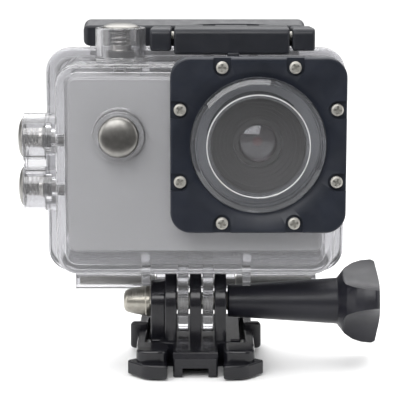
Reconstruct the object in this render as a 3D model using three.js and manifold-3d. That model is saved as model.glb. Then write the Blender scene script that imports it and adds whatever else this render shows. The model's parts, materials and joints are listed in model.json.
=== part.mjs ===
// Action camera in its clear waterproof case, clamped to a quick-release buckle.
// Millimetres. The lens looks along -Y, +X is the right-hand side seen from the front, +Z is up.
// The origin is the centre of the buckle's flat underside.
import * as THREE from "three";
import { mergeVertices } from "three/addons/utils/BufferGeometryUtils.js";
import Module from "manifold-3d";

const wasm = await Module();
wasm.setup();

// ---------------------------------------------------------------- driving dimensions

const GAP = 0.3; // clearance between neighbouring pieces
const SLIP = 0.15; // running clearance around pins, stems and screws

const PIVOT_Z = 14; // thumb-screw axis above the buckle's underside
const PRONG_R = 7.5; // rounded end of every clamp prong
const PRONG_STEP = 2.95; // from a black prong's centre to the next clear prong's centre
const BLACK_PRONG = 2.8; // thickness of a buckle prong
const CLEAR_PRONG = 2.6; // thickness of a case prong
const ROD_R = 2.3; // M5 thumb-screw rod
const PLATFORM_Z = 5.8; // top of the buckle's platform
const NUT_LUG = { inner: -2 * PRONG_STEP - BLACK_PRONG / 2, outer: -10.7, radius: 5.1 };

const camera = {
  halfWidth: 29.5,
  bottom: 28.2,
  top: 69.1,
  front: -11.5,
  split: -4,
  back: 10,
  wall: 1.3,
  corner: 3,
};
const shell = {
  halfWidth: 32.2,
  bottom: 23.4,
  top: 72.3,
  front: -14.5,
  wall: 2,
  corner: 5,
};
const flange = {
  halfWidth: 36,
  bottom: 20.8,
  top: 74.2,
  front: 7.9,
  back: 10.2,
  corner: 7,
};
const door = { front: flange.back + GAP, back: 13, hingeY: 11.4, hingeZ: 16.6, knuckleR: 2.8 };
const PIN_R = 0.9; // latch pins
const HINGE_PIN_R = 1;

const LENS_X = 14.3; // optical axis
const LENS_Z = 54.1;
const frame = { half: 20, corner: 4.6, front: -19.3, back: shell.front - GAP };
const PORT_R = 15.3; // outside of the clear port tube
const BARREL_R = 11.6; // outside of the camera's lens barrel

const LEVER_PIN = { y: 5.5, z: 76.8 }; // the latch lever turns on the case here
const CLAW_PIN = { y: -2.5, z: 78 }; // the claw turns on the lever here
const latch = {
  left: -10.6,
  leverLeft: -5,
  leverRight: 21.9,
  right: 27.8,
  armGap: 0.6, // between the lever and each arm of the claw
  bottom: 74.5,
  top: 79.9,
};

const STEM_R = 1.25;
const TUBE_R = 5.9; // outside of a button guard tube
const TUBE_SLIP = 0.3; // between a button cap and its guard tube
const SIDE_BUTTONS = { up: 53.6, down: 41.9 }; // heights of the two side buttons
const SIDE_FLOOR = -35.2; // the side guard tubes are solid up to here
const SHUTTER_X = -17.6;
const POWER = { x: -17.5, z: 55.9 };

// Button plungers, measured from their guard tube's floor outwards: the stem's tip, the cap from its
// edge to its crown, how deep the cap is hollow, and the seat that the spring stands on.
const plungers = {
  shutter: { capR: 4.3, tip: -1.9, capFrom: 7, capTop: 8.4, hollowTo: 7.5, seat: 3.4, coils: 4 },
  power: { capR: 4.7, tip: -1.8, capFrom: 1.8, capTop: 4.2, hollowTo: 2.9, seat: 0.1, coils: 2 },
  up: { capR: 4.75, tip: -4.5, capFrom: 5.2, capTop: 6.8, hollowTo: 5.8, seat: 1.9, coils: 4 },
  down: { capR: 4.75, tip: -4.5, capFrom: 5.2, capTop: 6.8, hollowTo: 5.8, seat: 1.9, coils: 4 },
};
// The dark gland below the spring: how high and wide it is, and the collar that stands on it.
const bushes = {
  shutter: { baseR: 3.5, baseTo: 2, collarR: 2.5 },
  up: { baseR: 2.9, baseTo: 0.9, collarR: 2.4 },
  down: { baseR: 2.9, baseTo: 0.9, collarR: 2.4 },
};

// ---------------------------------------------------------------- solid helpers

// A closed three.js geometry as a solid that can be cut and joined.
function solid(geometry) {
  const bare = geometry.index ? geometry.toNonIndexed() : geometry;
  bare.deleteAttribute("normal");
  bare.deleteAttribute("uv");
  const merged = mergeVertices(bare, 1e-4);
  return new wasm.Manifold(
    new wasm.Mesh({
      numProp: 3,
      vertProperties: merged.attributes.position.array,
      triVerts: new Uint32Array(merged.index.array),
    }),
  );
}

function join(...pieces) {
  return pieces.reduce((whole, piece) => whole.add(piece));
}

function cut(body, ...tools) {
  return tools.reduce((whole, tool) => whole.subtract(tool), body);
}

function moved(body, x, y, z) {
  return body.translate([x, y, z]);
}

// Low and high end of a stretch, whichever way round it is given.
function span(p, q) {
  return [Math.min(p, q), Math.max(p, q)];
}

// Turns a geometry made along three.js's own +Y so that it runs along X, Y or Z.
function along(axis, geometry) {
  if (axis === "x") geometry.rotateZ(-Math.PI / 2);
  if (axis === "z") geometry.rotateX(Math.PI / 2);
  return geometry;
}

// A cylinder or cone along an axis, from one station to another, centred on the other two values.
function rod(axis, radius, from, to, a, b, sides = 16, endRadius = radius) {
  const geometry = new THREE.CylinderGeometry(endRadius, radius, to - from, sides);
  along(axis, geometry);
  const middle = (from + to) / 2;
  const place = { x: [middle, a, b], y: [a, middle, b], z: [a, b, middle] }[axis];
  return moved(solid(geometry), ...place);
}

// A turned solid. Its profile is [radius, station] pairs. A solid one runs from the low end up the
// outside, and a ring's runs up the outside, down the inside and back to its start.
function turned(axis, profile, a, b, sides = 16) {
  const points = profile.map(([radius, station]) => new THREE.Vector2(radius, station));
  const geometry = along(axis, new THREE.LatheGeometry(points, sides));
  const place = { x: [0, a, b], y: [a, 0, b], z: [a, b, 0] }[axis];
  return moved(solid(geometry), ...place);
}

function box(x0, x1, y0, y1, z0, z1) {
  const geometry = new THREE.BoxGeometry(x1 - x0, y1 - y0, z1 - z0);
  return moved(solid(geometry), (x0 + x1) / 2, (y0 + y1) / 2, (z0 + z1) / 2);
}

function extruded(shape, depth, curveSegments) {
  return new THREE.ExtrudeGeometry(shape, { depth, bevelEnabled: false, curveSegments });
}

// Prisms: a shape drawn in (y, z), (x, z) or (x, y), drawn out along the third direction.
function prismX(shape, x0, x1, segments = 4) {
  const turn = new THREE.Matrix4().makeBasis(
    new THREE.Vector3(0, 1, 0),
    new THREE.Vector3(0, 0, 1),
    new THREE.Vector3(1, 0, 0),
  );
  return moved(solid(extruded(shape, x1 - x0, segments).applyMatrix4(turn)), x0, 0, 0);
}

function prismY(shape, y0, y1, segments = 4) {
  return moved(solid(extruded(shape, y1 - y0, segments).rotateX(Math.PI / 2)), 0, y1, 0);
}

function prismZ(shape, z0, z1, segments = 4) {
  return moved(solid(extruded(shape, z1 - z0, segments)), 0, 0, z0);
}

function polygon(points) {
  return new THREE.Shape(points.map(([a, b]) => new THREE.Vector2(a, b)));
}

function roundedRect(a0, a1, b0, b1, radius) {
  const shape = new THREE.Shape();
  shape.moveTo(a0 + radius, b0);
  shape.lineTo(a1 - radius, b0);
  shape.absarc(a1 - radius, b0 + radius, radius, -Math.PI / 2, 0, false);
  shape.lineTo(a1, b1 - radius);
  shape.absarc(a1 - radius, b1 - radius, radius, 0, Math.PI / 2, false);
  shape.lineTo(a0 + radius, b1);
  shape.absarc(a0 + radius, b1 - radius, radius, Math.PI / 2, Math.PI, false);
  shape.lineTo(a0, b0 + radius);
  shape.absarc(a0 + radius, b0 + radius, radius, Math.PI, 1.5 * Math.PI, false);
  return shape;
}

// A rounded box face grown (or shrunk) by an inset, as seen from the front.
function face(form, inset = 0) {
  return roundedRect(
    -form.halfWidth + inset,
    form.halfWidth - inset,
    form.bottom + inset,
    form.top - inset,
    Math.max(form.corner - inset, 0.8),
  );
}

// ---------------------------------------------------------------- the exported scene

const actionCamera = new THREE.Group();
actionCamera.name = "action_camera";

function group(name) {
  const made = new THREE.Group();
  made.name = name;
  actionCamera.add(made);
  return made;
}

function addPart(parent, name, body, material) {
  const { vertProperties, triVerts } = body.getMesh();
  const geometry = new THREE.BufferGeometry();
  geometry.setAttribute("position", new THREE.BufferAttribute(vertProperties, 3));
  geometry.setIndex(new THREE.BufferAttribute(triVerts, 1));
  geometry.computeVertexNormals();
  const mesh = new THREE.Mesh(geometry, material);
  mesh.name = name;
  parent.add(mesh);
}

function finish(color, roughness, metalness = 0, opacity = 1) {
  return new THREE.MeshStandardMaterial({
    color,
    roughness,
    metalness,
    opacity,
    transparent: opacity < 1,
  });
}

const blackGloss = () => finish(0x0d0d0f, 0.25);
const blackSatin = () => finish(0x1b1b1d, 0.45);
const clearPlastic = () => finish(0xf2f5f5, 0.05, 0, 0.25);
const glass = () => finish(0xeef4f6, 0.02, 0, 0.2);
const silverPaint = () => finish(0xc4c4c2, 0.4, 0.3);
const steel = () => finish(0xb9b6b0, 0.3, 1);
const rubber = () => finish(0x202020, 0.8);
const silicone = () => finish(0xe6e6e2, 0.6);
const darkPlastic = () => finish(0x2c2a2a, 0.5);

// ---------------------------------------------------------------- quick-release buckle

// A clamp prong: a round end about the pivot on a straight root, seen from the side.
function prongShape(radius, rootZ) {
  const shape = new THREE.Shape();
  shape.moveTo(-radius, rootZ);
  shape.lineTo(radius, rootZ);
  shape.lineTo(radius, PIVOT_Z);
  shape.absarc(0, PIVOT_Z, radius, 0, Math.PI, false);
  return shape;
}

function buckleOutline() {
  const tongue = { half: 5.2, front: -18.5, back: -8.8 };
  const platform = { half: 10.7, front: -5.6 };
  const crossbar = { half: 13.8, front: 17.4, back: 21.5 };
  const right = [
    [tongue.half, tongue.front],
    [tongue.half, tongue.back],
    [PRONG_R + 1, tongue.back + 1],
    [PRONG_R + 1, platform.front],
    [platform.half, platform.front],
    [platform.half, crossbar.front],
    [crossbar.half, crossbar.front],
    [crossbar.half, crossbar.back],
  ];
  const left = right.map(([x, y]) => [-x, y]).reverse();
  return polygon([...right, ...left]);
}

function buckleBase() {
  const prongs = [-2, 0, 2].map((step) => {
    const x = step * PRONG_STEP;
    return prismX(prongShape(PRONG_R, 1), x - BLACK_PRONG / 2, x + BLACK_PRONG / 2, 12);
  });
  const nutLug = prismX(prongShape(NUT_LUG.radius, 1), NUT_LUG.outer, NUT_LUG.inner + 0.1, 10);
  const nutPocket = rod("x", 4.15, NUT_LUG.outer - 1, NUT_LUG.inner - 1, 0, PIVOT_Z, 6);
  const noseNotch = box(-3, 3, -19, -12, -1, 2.1);
  const noseBevel = prismX(polygon([[-19, 4.9], [-16.7, 5.81], [-19, 5.81]]), -6, 6);
  return cut(
    join(prismZ(buckleOutline(), 0, PLATFORM_Z), nutLug, ...prongs),
    rod("x", ROD_R + GAP, -12, 12, 0, PIVOT_Z),
    nutPocket,
    noseNotch,
    noseBevel,
  );
}

// A spring arm, drawn for the right-hand side and mirrored for the left.
function clipArm(side) {
  const bar = { inner: 11.8, outer: 13.8, front: -9.5, back: 17.1 };
  const block = { inner: 6.5, outer: 13.8, front: -18.4, back: -9.4 };
  const mirrored = (shape) => polygon(shape.getPoints(3).map((p) => [side * p.x, p.y]));
  const gripPad = new THREE.Shape();
  gripPad.moveTo(block.inner, -21.6);
  gripPad.quadraticCurveTo(12.5, -21, 16, -15.8);
  gripPad.lineTo(block.outer, -14);
  gripPad.lineTo(block.inner, -14);
  const blockShape = roundedRect(block.inner, block.outer, block.front, block.back, 2.4);
  const barShape = roundedRect(bar.inner, bar.outer, bar.front - 3, bar.back, 0.8);
  const wingOuter = 15.9;
  const wing = prismX(
    polygon([[3, 1.4], [15, 1.4], [15, 3.6], [5, 7.7], [3.4, 7.9], [3, 7.5]]),
    ...span(side * bar.inner, side * wingOuter),
  );
  return join(
    prismZ(mirrored(gripPad), 0.2, 3.5),
    prismZ(mirrored(blockShape), 0.5, 6.2),
    prismZ(mirrored(barShape), 1, 6.2),
    wing,
  );
}

function clampNut() {
  const hexFrom = -8.6;
  const hexTo = NUT_LUG.outer - 0.4;
  const acornBase = NUT_LUG.outer - GAP;
  const hex = rod("x", 3.85, hexTo, hexFrom, 0, PIVOT_Z, 6);
  const acorn = turned(
    "x",
    [
      [0, -17.3],
      [1.2, -17.3],
      [2.3, -16.9],
      [2.95, -15.9],
      [3.3, -14.4],
      [3.85, acornBase],
      [0, acornBase],
    ],
    0,
    PIVOT_Z,
    20,
  );
  return cut(join(hex, acorn), rod("x", ROD_R + GAP, -15.2, hexFrom + 1, 0, PIVOT_Z));
}

// The thumb screw's handle is a long cone. Its bell-shaped head has three scallops between three
// lobes, and one lobe points to the front and a little up.
const knob = { start: 7.7, neck: 34, end: 44, rootR: 3.85, neckR: 5.6, socket: 14 };
const scallop = { away: 26.8, startR: 20.5, endR: 21.5, turn: -14 };

function thumbKnob() {
  const handle = turned(
    "x",
    [[0, knob.start], [knob.rootR, knob.start], [knob.neckR, knob.neck], [0, knob.neck]],
    0,
    PIVOT_Z,
    20,
  );
  const bell = turned(
    "x",
    [
      [0, knob.neck - 0.1],
      [knob.neckR, knob.neck - 0.1],
      [7.9, knob.neck + 1.8],
      [9.3, knob.neck + 3.6],
      [10.2, knob.neck + 5.6],
      [10.7, knob.neck + 8],
      [10.3, knob.neck + 8.9],
      [0, knob.end],
    ],
    0,
    PIVOT_Z,
    24,
  );
  const scallops = [0, 1, 2].map((turn) => {
    const angle = ((turn * 120 + scallop.turn) * Math.PI) / 180;
    return rod(
      "x",
      scallop.startR,
      knob.neck + 1,
      knob.end + 1,
      scallop.away * Math.cos(angle),
      PIVOT_Z + scallop.away * Math.sin(angle),
      56,
      scallop.endR,
    );
  });
  const socket = rod("x", ROD_R + SLIP, knob.start - 1, knob.start + knob.socket, 0, PIVOT_Z);
  return cut(join(handle, cut(bell, ...scallops)), socket);
}

function buildBuckle() {
  const buckle = group("buckle");
  addPart(buckle, "buckle_base", buckleBase(), blackGloss());
  addPart(buckle, "clip_arm_left", clipArm(-1), blackGloss());
  addPart(buckle, "clip_arm_right", clipArm(1), blackGloss());
  addPart(buckle, "clamp_nut", clampNut(), steel());
  const screw = group("thumb_screw");
  const rodEnd = knob.start + knob.socket - 0.5;
  addPart(screw, "screw_rod", rod("x", ROD_R, -14.8, rodEnd, 0, PIVOT_Z), steel());
  addPart(screw, "thumb_knob", thumbKnob(), blackSatin());
}

// ---------------------------------------------------------------- waterproof case, front half

// Guard tube around a button. It stands on the wall, and its floor holds the stem hole and O-ring seat.
function guardTube({ axis, inside, wall, floor, rim, a, b, capR }) {
  const inward = Math.sign(inside - floor);
  const ringDepth = 1.2;
  return {
    tube: rod(axis, TUBE_R, ...span(wall + inward * 0.5, rim), a, b, 20),
    bore: rod(axis, capR + TUBE_SLIP, ...span(floor, rim - inward), a, b, 20),
    stemHole: rod(axis, STEM_R + 0.25, ...span(inside + inward, floor), a, b, 10),
    ringSeat: rod(axis, 2.5, ...span(floor + inward * ringDepth, floor - inward * 0.1), a, b, 12),
  };
}

const inner = {
  left: -shell.halfWidth + shell.wall,
  bottom: shell.bottom + shell.wall,
  top: shell.top - shell.wall,
  front: shell.front + 2.2,
};

const SCREW_END = -12.9; // the frame screws stop inside the case wall
const SCREW_R = 0.8;

// Two screws on each side of the lens frame, near its corners.
function framePlaces() {
  const near = 8.25;
  const far = 17.8;
  const places = [];
  for (const sideX of [-1, 1]) {
    for (const sideZ of [-1, 1]) {
      places.push([LENS_X + sideX * near, LENS_Z + sideZ * far]);
      places.push([LENS_X + sideX * far, LENS_Z + sideZ * near]);
    }
  }
  return places;
}

const screwPlaces = framePlaces();

// The three kinds of guard tube: on top, on the left-hand side and on the front.
function sideGuard(name) {
  return guardTube({
    axis: "x",
    inside: inner.left,
    wall: -shell.halfWidth,
    floor: SIDE_FLOOR,
    rim: -40.7,
    a: 0,
    b: SIDE_BUTTONS[name],
    capR: plungers[name].capR,
  });
}

const guards = {
  shutter: guardTube({
    axis: "z",
    inside: inner.top,
    wall: shell.top,
    floor: shell.top,
    rim: 79.7,
    a: SHUTTER_X,
    b: 0,
    capR: plungers.shutter.capR,
  }),
  power: guardTube({
    axis: "y",
    inside: inner.front,
    wall: shell.front,
    floor: shell.front,
    rim: -16.4,
    a: POWER.x,
    b: POWER.z,
    capR: plungers.power.capR,
  }),
  up: sideGuard("up"),
  down: sideGuard("down"),
};

function caseShell() {
  const body = prismY(face(shell), shell.front, flange.front + 0.5);
  const rim = prismY(face(flange), flange.front, flange.back);
  const padHalf = frame.half - 0.5;
  const pad = prismY(
    roundedRect(LENS_X - padHalf, LENS_X + padHalf, LENS_Z - padHalf, LENS_Z + padHalf, 4.4),
    shell.front,
    -8.5,
  );
  const bridgeHalf = 4.6;
  const sideBridge = box(
    -40.3,
    -shell.halfWidth + 0.5,
    -bridgeHalf,
    bridgeHalf,
    SIDE_BUTTONS.down,
    SIDE_BUTTONS.up,
  );
  return join(body, rim, pad, sideBridge);
}

// Clear prongs that hang between the buckle's black ones.
function caseProngs() {
  const shape = new THREE.Shape();
  shape.moveTo(PRONG_R, shell.bottom + 0.6);
  shape.lineTo(-PRONG_R, shell.bottom + 0.6);
  shape.lineTo(-PRONG_R, PIVOT_Z);
  shape.absarc(0, PIVOT_Z, PRONG_R, Math.PI, 2 * Math.PI, false);
  return [-1, 1].map((side) => {
    const x = side * PRONG_STEP;
    return prismX(shape, x - CLEAR_PRONG / 2, x + CLEAR_PRONG / 2, 12);
  });
}

const LUG_SPANS = [
  [2, 4.4],
  [12.4, 14.8],
];

// Lugs on top that hold the lever's pin.
function leverLugs() {
  const shape = new THREE.Shape();
  const half = 1.9;
  shape.moveTo(LEVER_PIN.y - half, shell.top - 0.5);
  shape.lineTo(LEVER_PIN.y + half, shell.top - 0.5);
  shape.lineTo(LEVER_PIN.y + half, LEVER_PIN.z);
  shape.absarc(LEVER_PIN.y, LEVER_PIN.z, half, 0, Math.PI, false);
  return LUG_SPANS.map(([x0, x1]) => prismX(shape, x0, x1, 6));
}

const RIBS_X = [-11, 12];
const HINGE_MIDDLE = 9.7; // half width of the case's own hinge knuckle
const HINGE_END = 29.5;

// Small ribs inside the case that the camera rests between, below and above it.
function restRibs() {
  const half = 1;
  const rib = (x, z0, z1) => box(x - half, x + half, -10.5, 6, z0, z1);
  return RIBS_X.flatMap((x) => [
    rib(x, inner.bottom - 0.3, camera.bottom - GAP),
    rib(x, camera.top + GAP, inner.top + 0.3),
  ]);
}

// Ribs under the case that stiffen its rim, in line with the ribs inside.
function rimRibs() {
  const half = 1;
  return RIBS_X.map((x) => {
    return box(x - half, x + half, -9, flange.front + 0.5, flange.bottom + 0.1, shell.bottom + 0.5);
  });
}

function frameScrewHoles() {
  return screwPlaces.map(([x, z]) => {
    return rod("y", SCREW_R + GAP, shell.front - 1, SCREW_END + 0.2, x, z, 6);
  });
}

// A hinge knuckle below the rim, joined up to a wall that spans from wallFront to wallBack.
function knuckle(x0, x1, wallFront, wallBack, wallZ) {
  const barrel = rod("x", door.knuckleR, x0, x1, door.hingeY, door.hingeZ);
  const web = prismX(
    polygon([
      [wallFront, wallZ],
      [wallFront, door.hingeZ],
      [wallBack, door.hingeZ],
      [wallBack, wallZ],
    ]),
    x0,
    x1,
  );
  return join(barrel, web);
}

function housingFront() {
  const hollow = prismY(face(shell, shell.wall), inner.front, flange.back + 1, 3);
  const pieces = Object.values(guards);
  const outer = join(
    caseShell(),
    ...pieces.map((guard) => guard.tube),
    ...caseProngs(),
    ...leverLugs(),
    ...rimRibs(),
    knuckle(-HINGE_MIDDLE, HINGE_MIDDLE, flange.front, flange.back, flange.bottom + 1),
  );
  const hollowed = join(cut(outer, hollow), ...restRibs());
  return cut(
    hollowed,
    ...pieces.flatMap((guard) => [guard.bore, guard.stemHole, guard.ringSeat]),
    ...frameScrewHoles(),
    rod("y", 14.2, shell.front - 1, inner.front + 1, LENS_X, LENS_Z, 28),
    rod("x", ROD_R + GAP, -6, 6, 0, PIVOT_Z),
    rod("x", PIN_R + SLIP, 0, 17, LEVER_PIN.y, LEVER_PIN.z, 10),
    rod("x", HINGE_PIN_R + SLIP, -12, 12, door.hingeY, door.hingeZ, 10),
  );
}

// ---------------------------------------------------------------- lens port and its frame

const port = {
  rim: -19.9,
  chamfer: 1.2,
  faceBack: -17.9, // back of the port's front wall
  seatFront: -18.6, // the window rests on a ledge here
  seatR: 11.7,
  ledgeR: 10.9,
  flangeR: 16.6,
  flangeFront: -16.2,
  flangeBack: -15.1,
};

function lensPort() {
  const innerR = PORT_R - 1.1;
  const back = shell.front - 0.1;
  return turned(
    "y",
    [
      [innerR, back],
      [innerR, port.faceBack],
      [port.ledgeR, port.faceBack],
      [port.ledgeR, port.seatFront],
      [port.seatR, port.seatFront],
      [port.seatR, port.rim],
      [PORT_R - port.chamfer, port.rim],
      [PORT_R, port.rim + port.chamfer / 2],
      [PORT_R, port.flangeFront],
      [port.flangeR, port.flangeFront],
      [port.flangeR, port.flangeBack],
      [PORT_R, port.flangeBack],
      [PORT_R, back],
      [innerR, back],
    ],
    LENS_X,
    LENS_Z,
    28,
  );
}

// The screws sit in pockets that open to the nearest edge of the frame.
function screwPocket(x, z) {
  const floor = frame.front + 1;
  const half = 2;
  const reach = frame.half + 1;
  const acrossX = Math.abs(x - LENS_X) > Math.abs(z - LENS_Z);
  const outX = acrossX ? LENS_X + Math.sign(x - LENS_X) * reach : x;
  const outZ = acrossX ? z : LENS_Z + Math.sign(z - LENS_Z) * reach;
  const round = rod("y", half, frame.front - 1, floor, x, z, 12);
  const slot = acrossX
    ? box(Math.min(x, outX), Math.max(x, outX), frame.front - 1, floor, z - half, z + half)
    : box(x - half, x + half, frame.front - 1, floor, Math.min(z, outZ), Math.max(z, outZ));
  return join(round, slot);
}

function portFrame() {
  const plate = prismY(
    roundedRect(
      LENS_X - frame.half,
      LENS_X + frame.half,
      LENS_Z - frame.half,
      LENS_Z + frame.half,
      frame.corner,
    ),
    frame.front,
    frame.back,
  );
  const dishR = 19.3;
  const dish = turned(
    "y",
    [
      [0, frame.front - 1],
      [dishR + 3.7, frame.front - 1],
      [dishR, frame.front],
      [PORT_R + 0.4, frame.front + 1.6],
      [0, frame.front + 1.6],
    ],
    LENS_X,
    LENS_Z,
    28,
  );
  const pockets = screwPlaces.map(([x, z]) => screwPocket(x, z));
  const holes = screwPlaces.map(([x, z]) => {
    return rod("y", SCREW_R + GAP, frame.front, frame.back + 1, x, z, 6);
  });
  return cut(
    plate,
    dish,
    rod("y", PORT_R + GAP, frame.front - 1, frame.back + 1, LENS_X, LENS_Z, 28),
    rod("y", port.flangeR + GAP, port.flangeFront - GAP, frame.back + 1, LENS_X, LENS_Z, 28),
    ...pockets,
    ...holes,
  );
}

// Pan-head screw with a cross recess.
function frameScrew(x, z) {
  const headFront = frame.front - 0.1;
  const headBack = frame.front + 0.9;
  const head = turned(
    "y",
    [[0, headFront], [0.9, headFront], [1.4, headFront + 0.35], [1.4, headBack], [0, headBack]],
    x,
    z,
    8,
  );
  const shank = rod("y", SCREW_R, headBack - 0.1, SCREW_END, x, z, 6);
  const slots = [
    box(x - 0.8, x + 0.8, headFront - 1, headFront + 0.4, z - 0.17, z + 0.17),
    box(x - 0.17, x + 0.17, headFront - 1, headFront + 0.4, z - 0.8, z + 0.8),
  ];
  return cut(join(head, shank), ...slots);
}

function buildPort(parent) {
  const gasket = cut(
    rod("y", port.flangeR, port.flangeBack + 0.1, shell.front - 0.1, LENS_X, LENS_Z, 28),
    rod("y", PORT_R + 0.1, port.flangeBack - 1, shell.front + 1, LENS_X, LENS_Z, 28),
  );
  const paneBack = port.seatFront - 0.1;
  const pane = rod("y", port.seatR - SLIP, paneBack - 0.9, paneBack, LENS_X, LENS_Z, 28);
  addPart(parent, "port_gasket", gasket, rubber());
  addPart(parent, "lens_port", lensPort(), clearPlastic());
  addPart(parent, "port_window", pane, glass());
  addPart(parent, "port_frame", portFrame(), blackSatin());
  screwPlaces.forEach(([x, z], index) => {
    addPart(parent, `frame_screw_${index + 1}`, frameScrew(x, z), steel());
  });
}

// ---------------------------------------------------------------- back door

const LIP = { left: -25.5, right: 25, top: 75 };

function backDoor() {
  const edge = 0.3;
  const plate = prismY(face(flange, edge), door.front, door.back);
  const lip = prismX(
    polygon([
      [door.front, flange.top - 2],
      [door.front + 3.5, flange.top - 2],
      [door.front + 4, 74.19],
      [door.front + 1.5, LIP.top],
      [door.front, LIP.top],
    ]),
    LIP.left,
    LIP.right,
  );
  const knuckles = [-1, 1].map((side) => {
    const ends = [side * (HINGE_MIDDLE + GAP), side * HINGE_END].sort((p, q) => p - q);
    return knuckle(...ends, door.front, door.back, flange.bottom + 1);
  });
  const groove = cut(
    prismY(face(flange, 2), door.front - 1, door.front + 1, 3),
    prismY(face(flange, 3.4), door.front - 2, door.front + 2, 3),
  );
  const recess = prismY(roundedRect(-24, 24, 30, 66, 2), door.back - 0.6, door.back + 1, 2);
  return cut(
    join(plate, lip, ...knuckles),
    groove,
    recess,
    rod("x", HINGE_PIN_R + SLIP, -HINGE_END - 1, HINGE_END + 1, door.hingeY, door.hingeZ, 10),
  );
}

function doorGasket() {
  return cut(
    prismY(face(flange, 2.1), flange.back + 0.1, door.front + 0.9, 3),
    prismY(face(flange, 3.3), flange.back - 1, door.front + 2, 3),
  );
}

// ---------------------------------------------------------------- latch

// The lever's side view: a flat front, and a tail rounded about its own pin.
function leverShape() {
  const tailR = latch.top - LEVER_PIN.z;
  const front = -5.5;
  const shape = new THREE.Shape();
  shape.moveTo(front + 0.4, LEVER_PIN.z - tailR);
  shape.lineTo(LEVER_PIN.y, LEVER_PIN.z - tailR);
  shape.absarc(LEVER_PIN.y, LEVER_PIN.z, tailR, -Math.PI / 2, Math.PI / 2, false);
  shape.lineTo(front + 1, latch.top);
  shape.lineTo(front, latch.top - 1);
  shape.lineTo(front, LEVER_PIN.z - tailR + 0.4);
  return shape;
}

function latchLever() {
  const slots = LUG_SPANS.map(([x0, x1]) => box(x0 - GAP, x1 + GAP, LEVER_PIN.y - 2.6, 10, 70, 82));
  const fingerTab = box(7.4, 10.2, -6, -4, 73, 74.2);
  return cut(
    join(prismX(leverShape(), latch.leverLeft, latch.leverRight, 6), fingerTab),
    ...slots,
    rod("x", PIN_R + SLIP, latch.leverLeft - 1, latch.leverRight + 1, CLAW_PIN.y, CLAW_PIN.z, 10),
    rod("x", PIN_R + SLIP, 0, 17, LEVER_PIN.y, LEVER_PIN.z, 10),
  );
}

// The claw: a bar behind the door's lip, on two arms beside the lever. The bar's underside slopes
// with the lip, so that it lifts off as the lever turns.
function latchClaw() {
  const bar = prismX(
    polygon([
      [9, 74.7],
      [10.2, 74.7],
      [10.2, 75.4],
      [12.1, 75.4],
      [16.5, 73.97],
      [17.2, 74.6],
      [17.2, 79.4],
      [16.2, 80.6],
      [14, 80.6],
      [9.6, 79.6],
      [9, 79],
    ]),
    -27,
    26.4,
  );
  const armShape = polygon([
    [-5.3, latch.bottom],
    [9.4, latch.bottom + 0.2],
    [9.4, latch.top - 0.4],
    [-4.4, latch.top],
    [-5.3, latch.top - 0.8],
  ]);
  const arms = [
    prismX(armShape, latch.left, latch.leverLeft - latch.armGap),
    prismX(armShape, latch.leverRight + latch.armGap, latch.right),
  ];
  return cut(
    join(bar, ...arms),
    rod("x", PIN_R + SLIP, latch.left + 1.2, latch.right - 1.2, CLAW_PIN.y, CLAW_PIN.z, 10),
  );
}

function buildCase() {
  const housing = group("housing");
  addPart(housing, "housing_front", housingFront(), clearPlastic());
  buildPort(housing);
  addPart(
    housing,
    "lever_pivot_pin",
    rod("x", PIN_R, 0.6, 16.4, LEVER_PIN.y, LEVER_PIN.z, 10),
    steel(),
  );
  addPart(
    housing,
    "door_hinge_pin",
    rod("x", HINGE_PIN_R, -HINGE_END + 1, HINGE_END - 1, door.hingeY, door.hingeZ, 10),
    steel(),
  );
  const back = group("back_door_group");
  addPart(back, "back_door", backDoor(), clearPlastic());
  addPart(back, "door_gasket", doorGasket(), silicone());
  const latchGroup = group("latch");
  addPart(latchGroup, "latch_lever", latchLever(), blackSatin());
  addPart(latchGroup, "latch_claw", latchClaw(), blackSatin());
  addPart(
    latchGroup,
    "claw_pin",
    rod("x", PIN_R, latch.left + 1.4, latch.right - 1.4, CLAW_PIN.y, CLAW_PIN.z, 10),
    steel(),
  );
}

// ---------------------------------------------------------------- plungers, springs and O-rings

class Helix extends THREE.Curve {
  constructor(radius, height, turns) {
    super();
    Object.assign(this, { radius, height, turns });
  }

  getPoint(t, target = new THREE.Vector3()) {
    const angle = 2 * Math.PI * this.turns * t;
    return target.set(this.radius * Math.cos(angle), this.height * t, this.radius * Math.sin(angle));
  }
}

function coilSpring(radius, wire, height, turns) {
  const section = new THREE.Shape();
  section.absarc(0, 0, wire / 2, 0, 2 * Math.PI, false);
  return new THREE.ExtrudeGeometry(section, {
    steps: turns * 8,
    curveSegments: 5,
    bevelEnabled: false,
    extrudePath: new Helix(radius, height - wire, turns),
  }).translate(0, wire / 2, 0);
}

// Plunger pieces are made standing up: +Y out of the case, 0 on the guard tube's floor.
// Each place turns and moves them to their button.
const places = {
  shutter: (geometry) => along("z", geometry).translate(SHUTTER_X, 0, shell.top),
  power: (geometry) => geometry.rotateX(Math.PI).translate(POWER.x, shell.front, POWER.z),
  up: (geometry) => geometry.rotateZ(Math.PI / 2).translate(SIDE_FLOOR, 0, SIDE_BUTTONS.up),
  down: (geometry) => geometry.rotateZ(Math.PI / 2).translate(SIDE_FLOOR, 0, SIDE_BUTTONS.down),
};

function lathe(profile, sides) {
  return new THREE.LatheGeometry(profile.map(([radius, y]) => new THREE.Vector2(radius, y)), sides);
}

// A button plunger: a stem with a domed cap that is hollow underneath for its spring.
function plunger({ capR, tip, capFrom, capTop, hollowTo }) {
  const hollowR = 3.2;
  const crown = Math.min(capTop - capFrom - 0.2, 1.2);
  return lathe(
    [
      [0, tip],
      [STEM_R, tip],
      [STEM_R, hollowTo],
      [hollowR, hollowTo],
      [hollowR, capFrom],
      [capR, capFrom],
      [capR, capTop - crown],
      [capR * 0.75, capTop - crown * 0.3],
      [0, capTop],
    ],
    16,
  );
}

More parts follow.
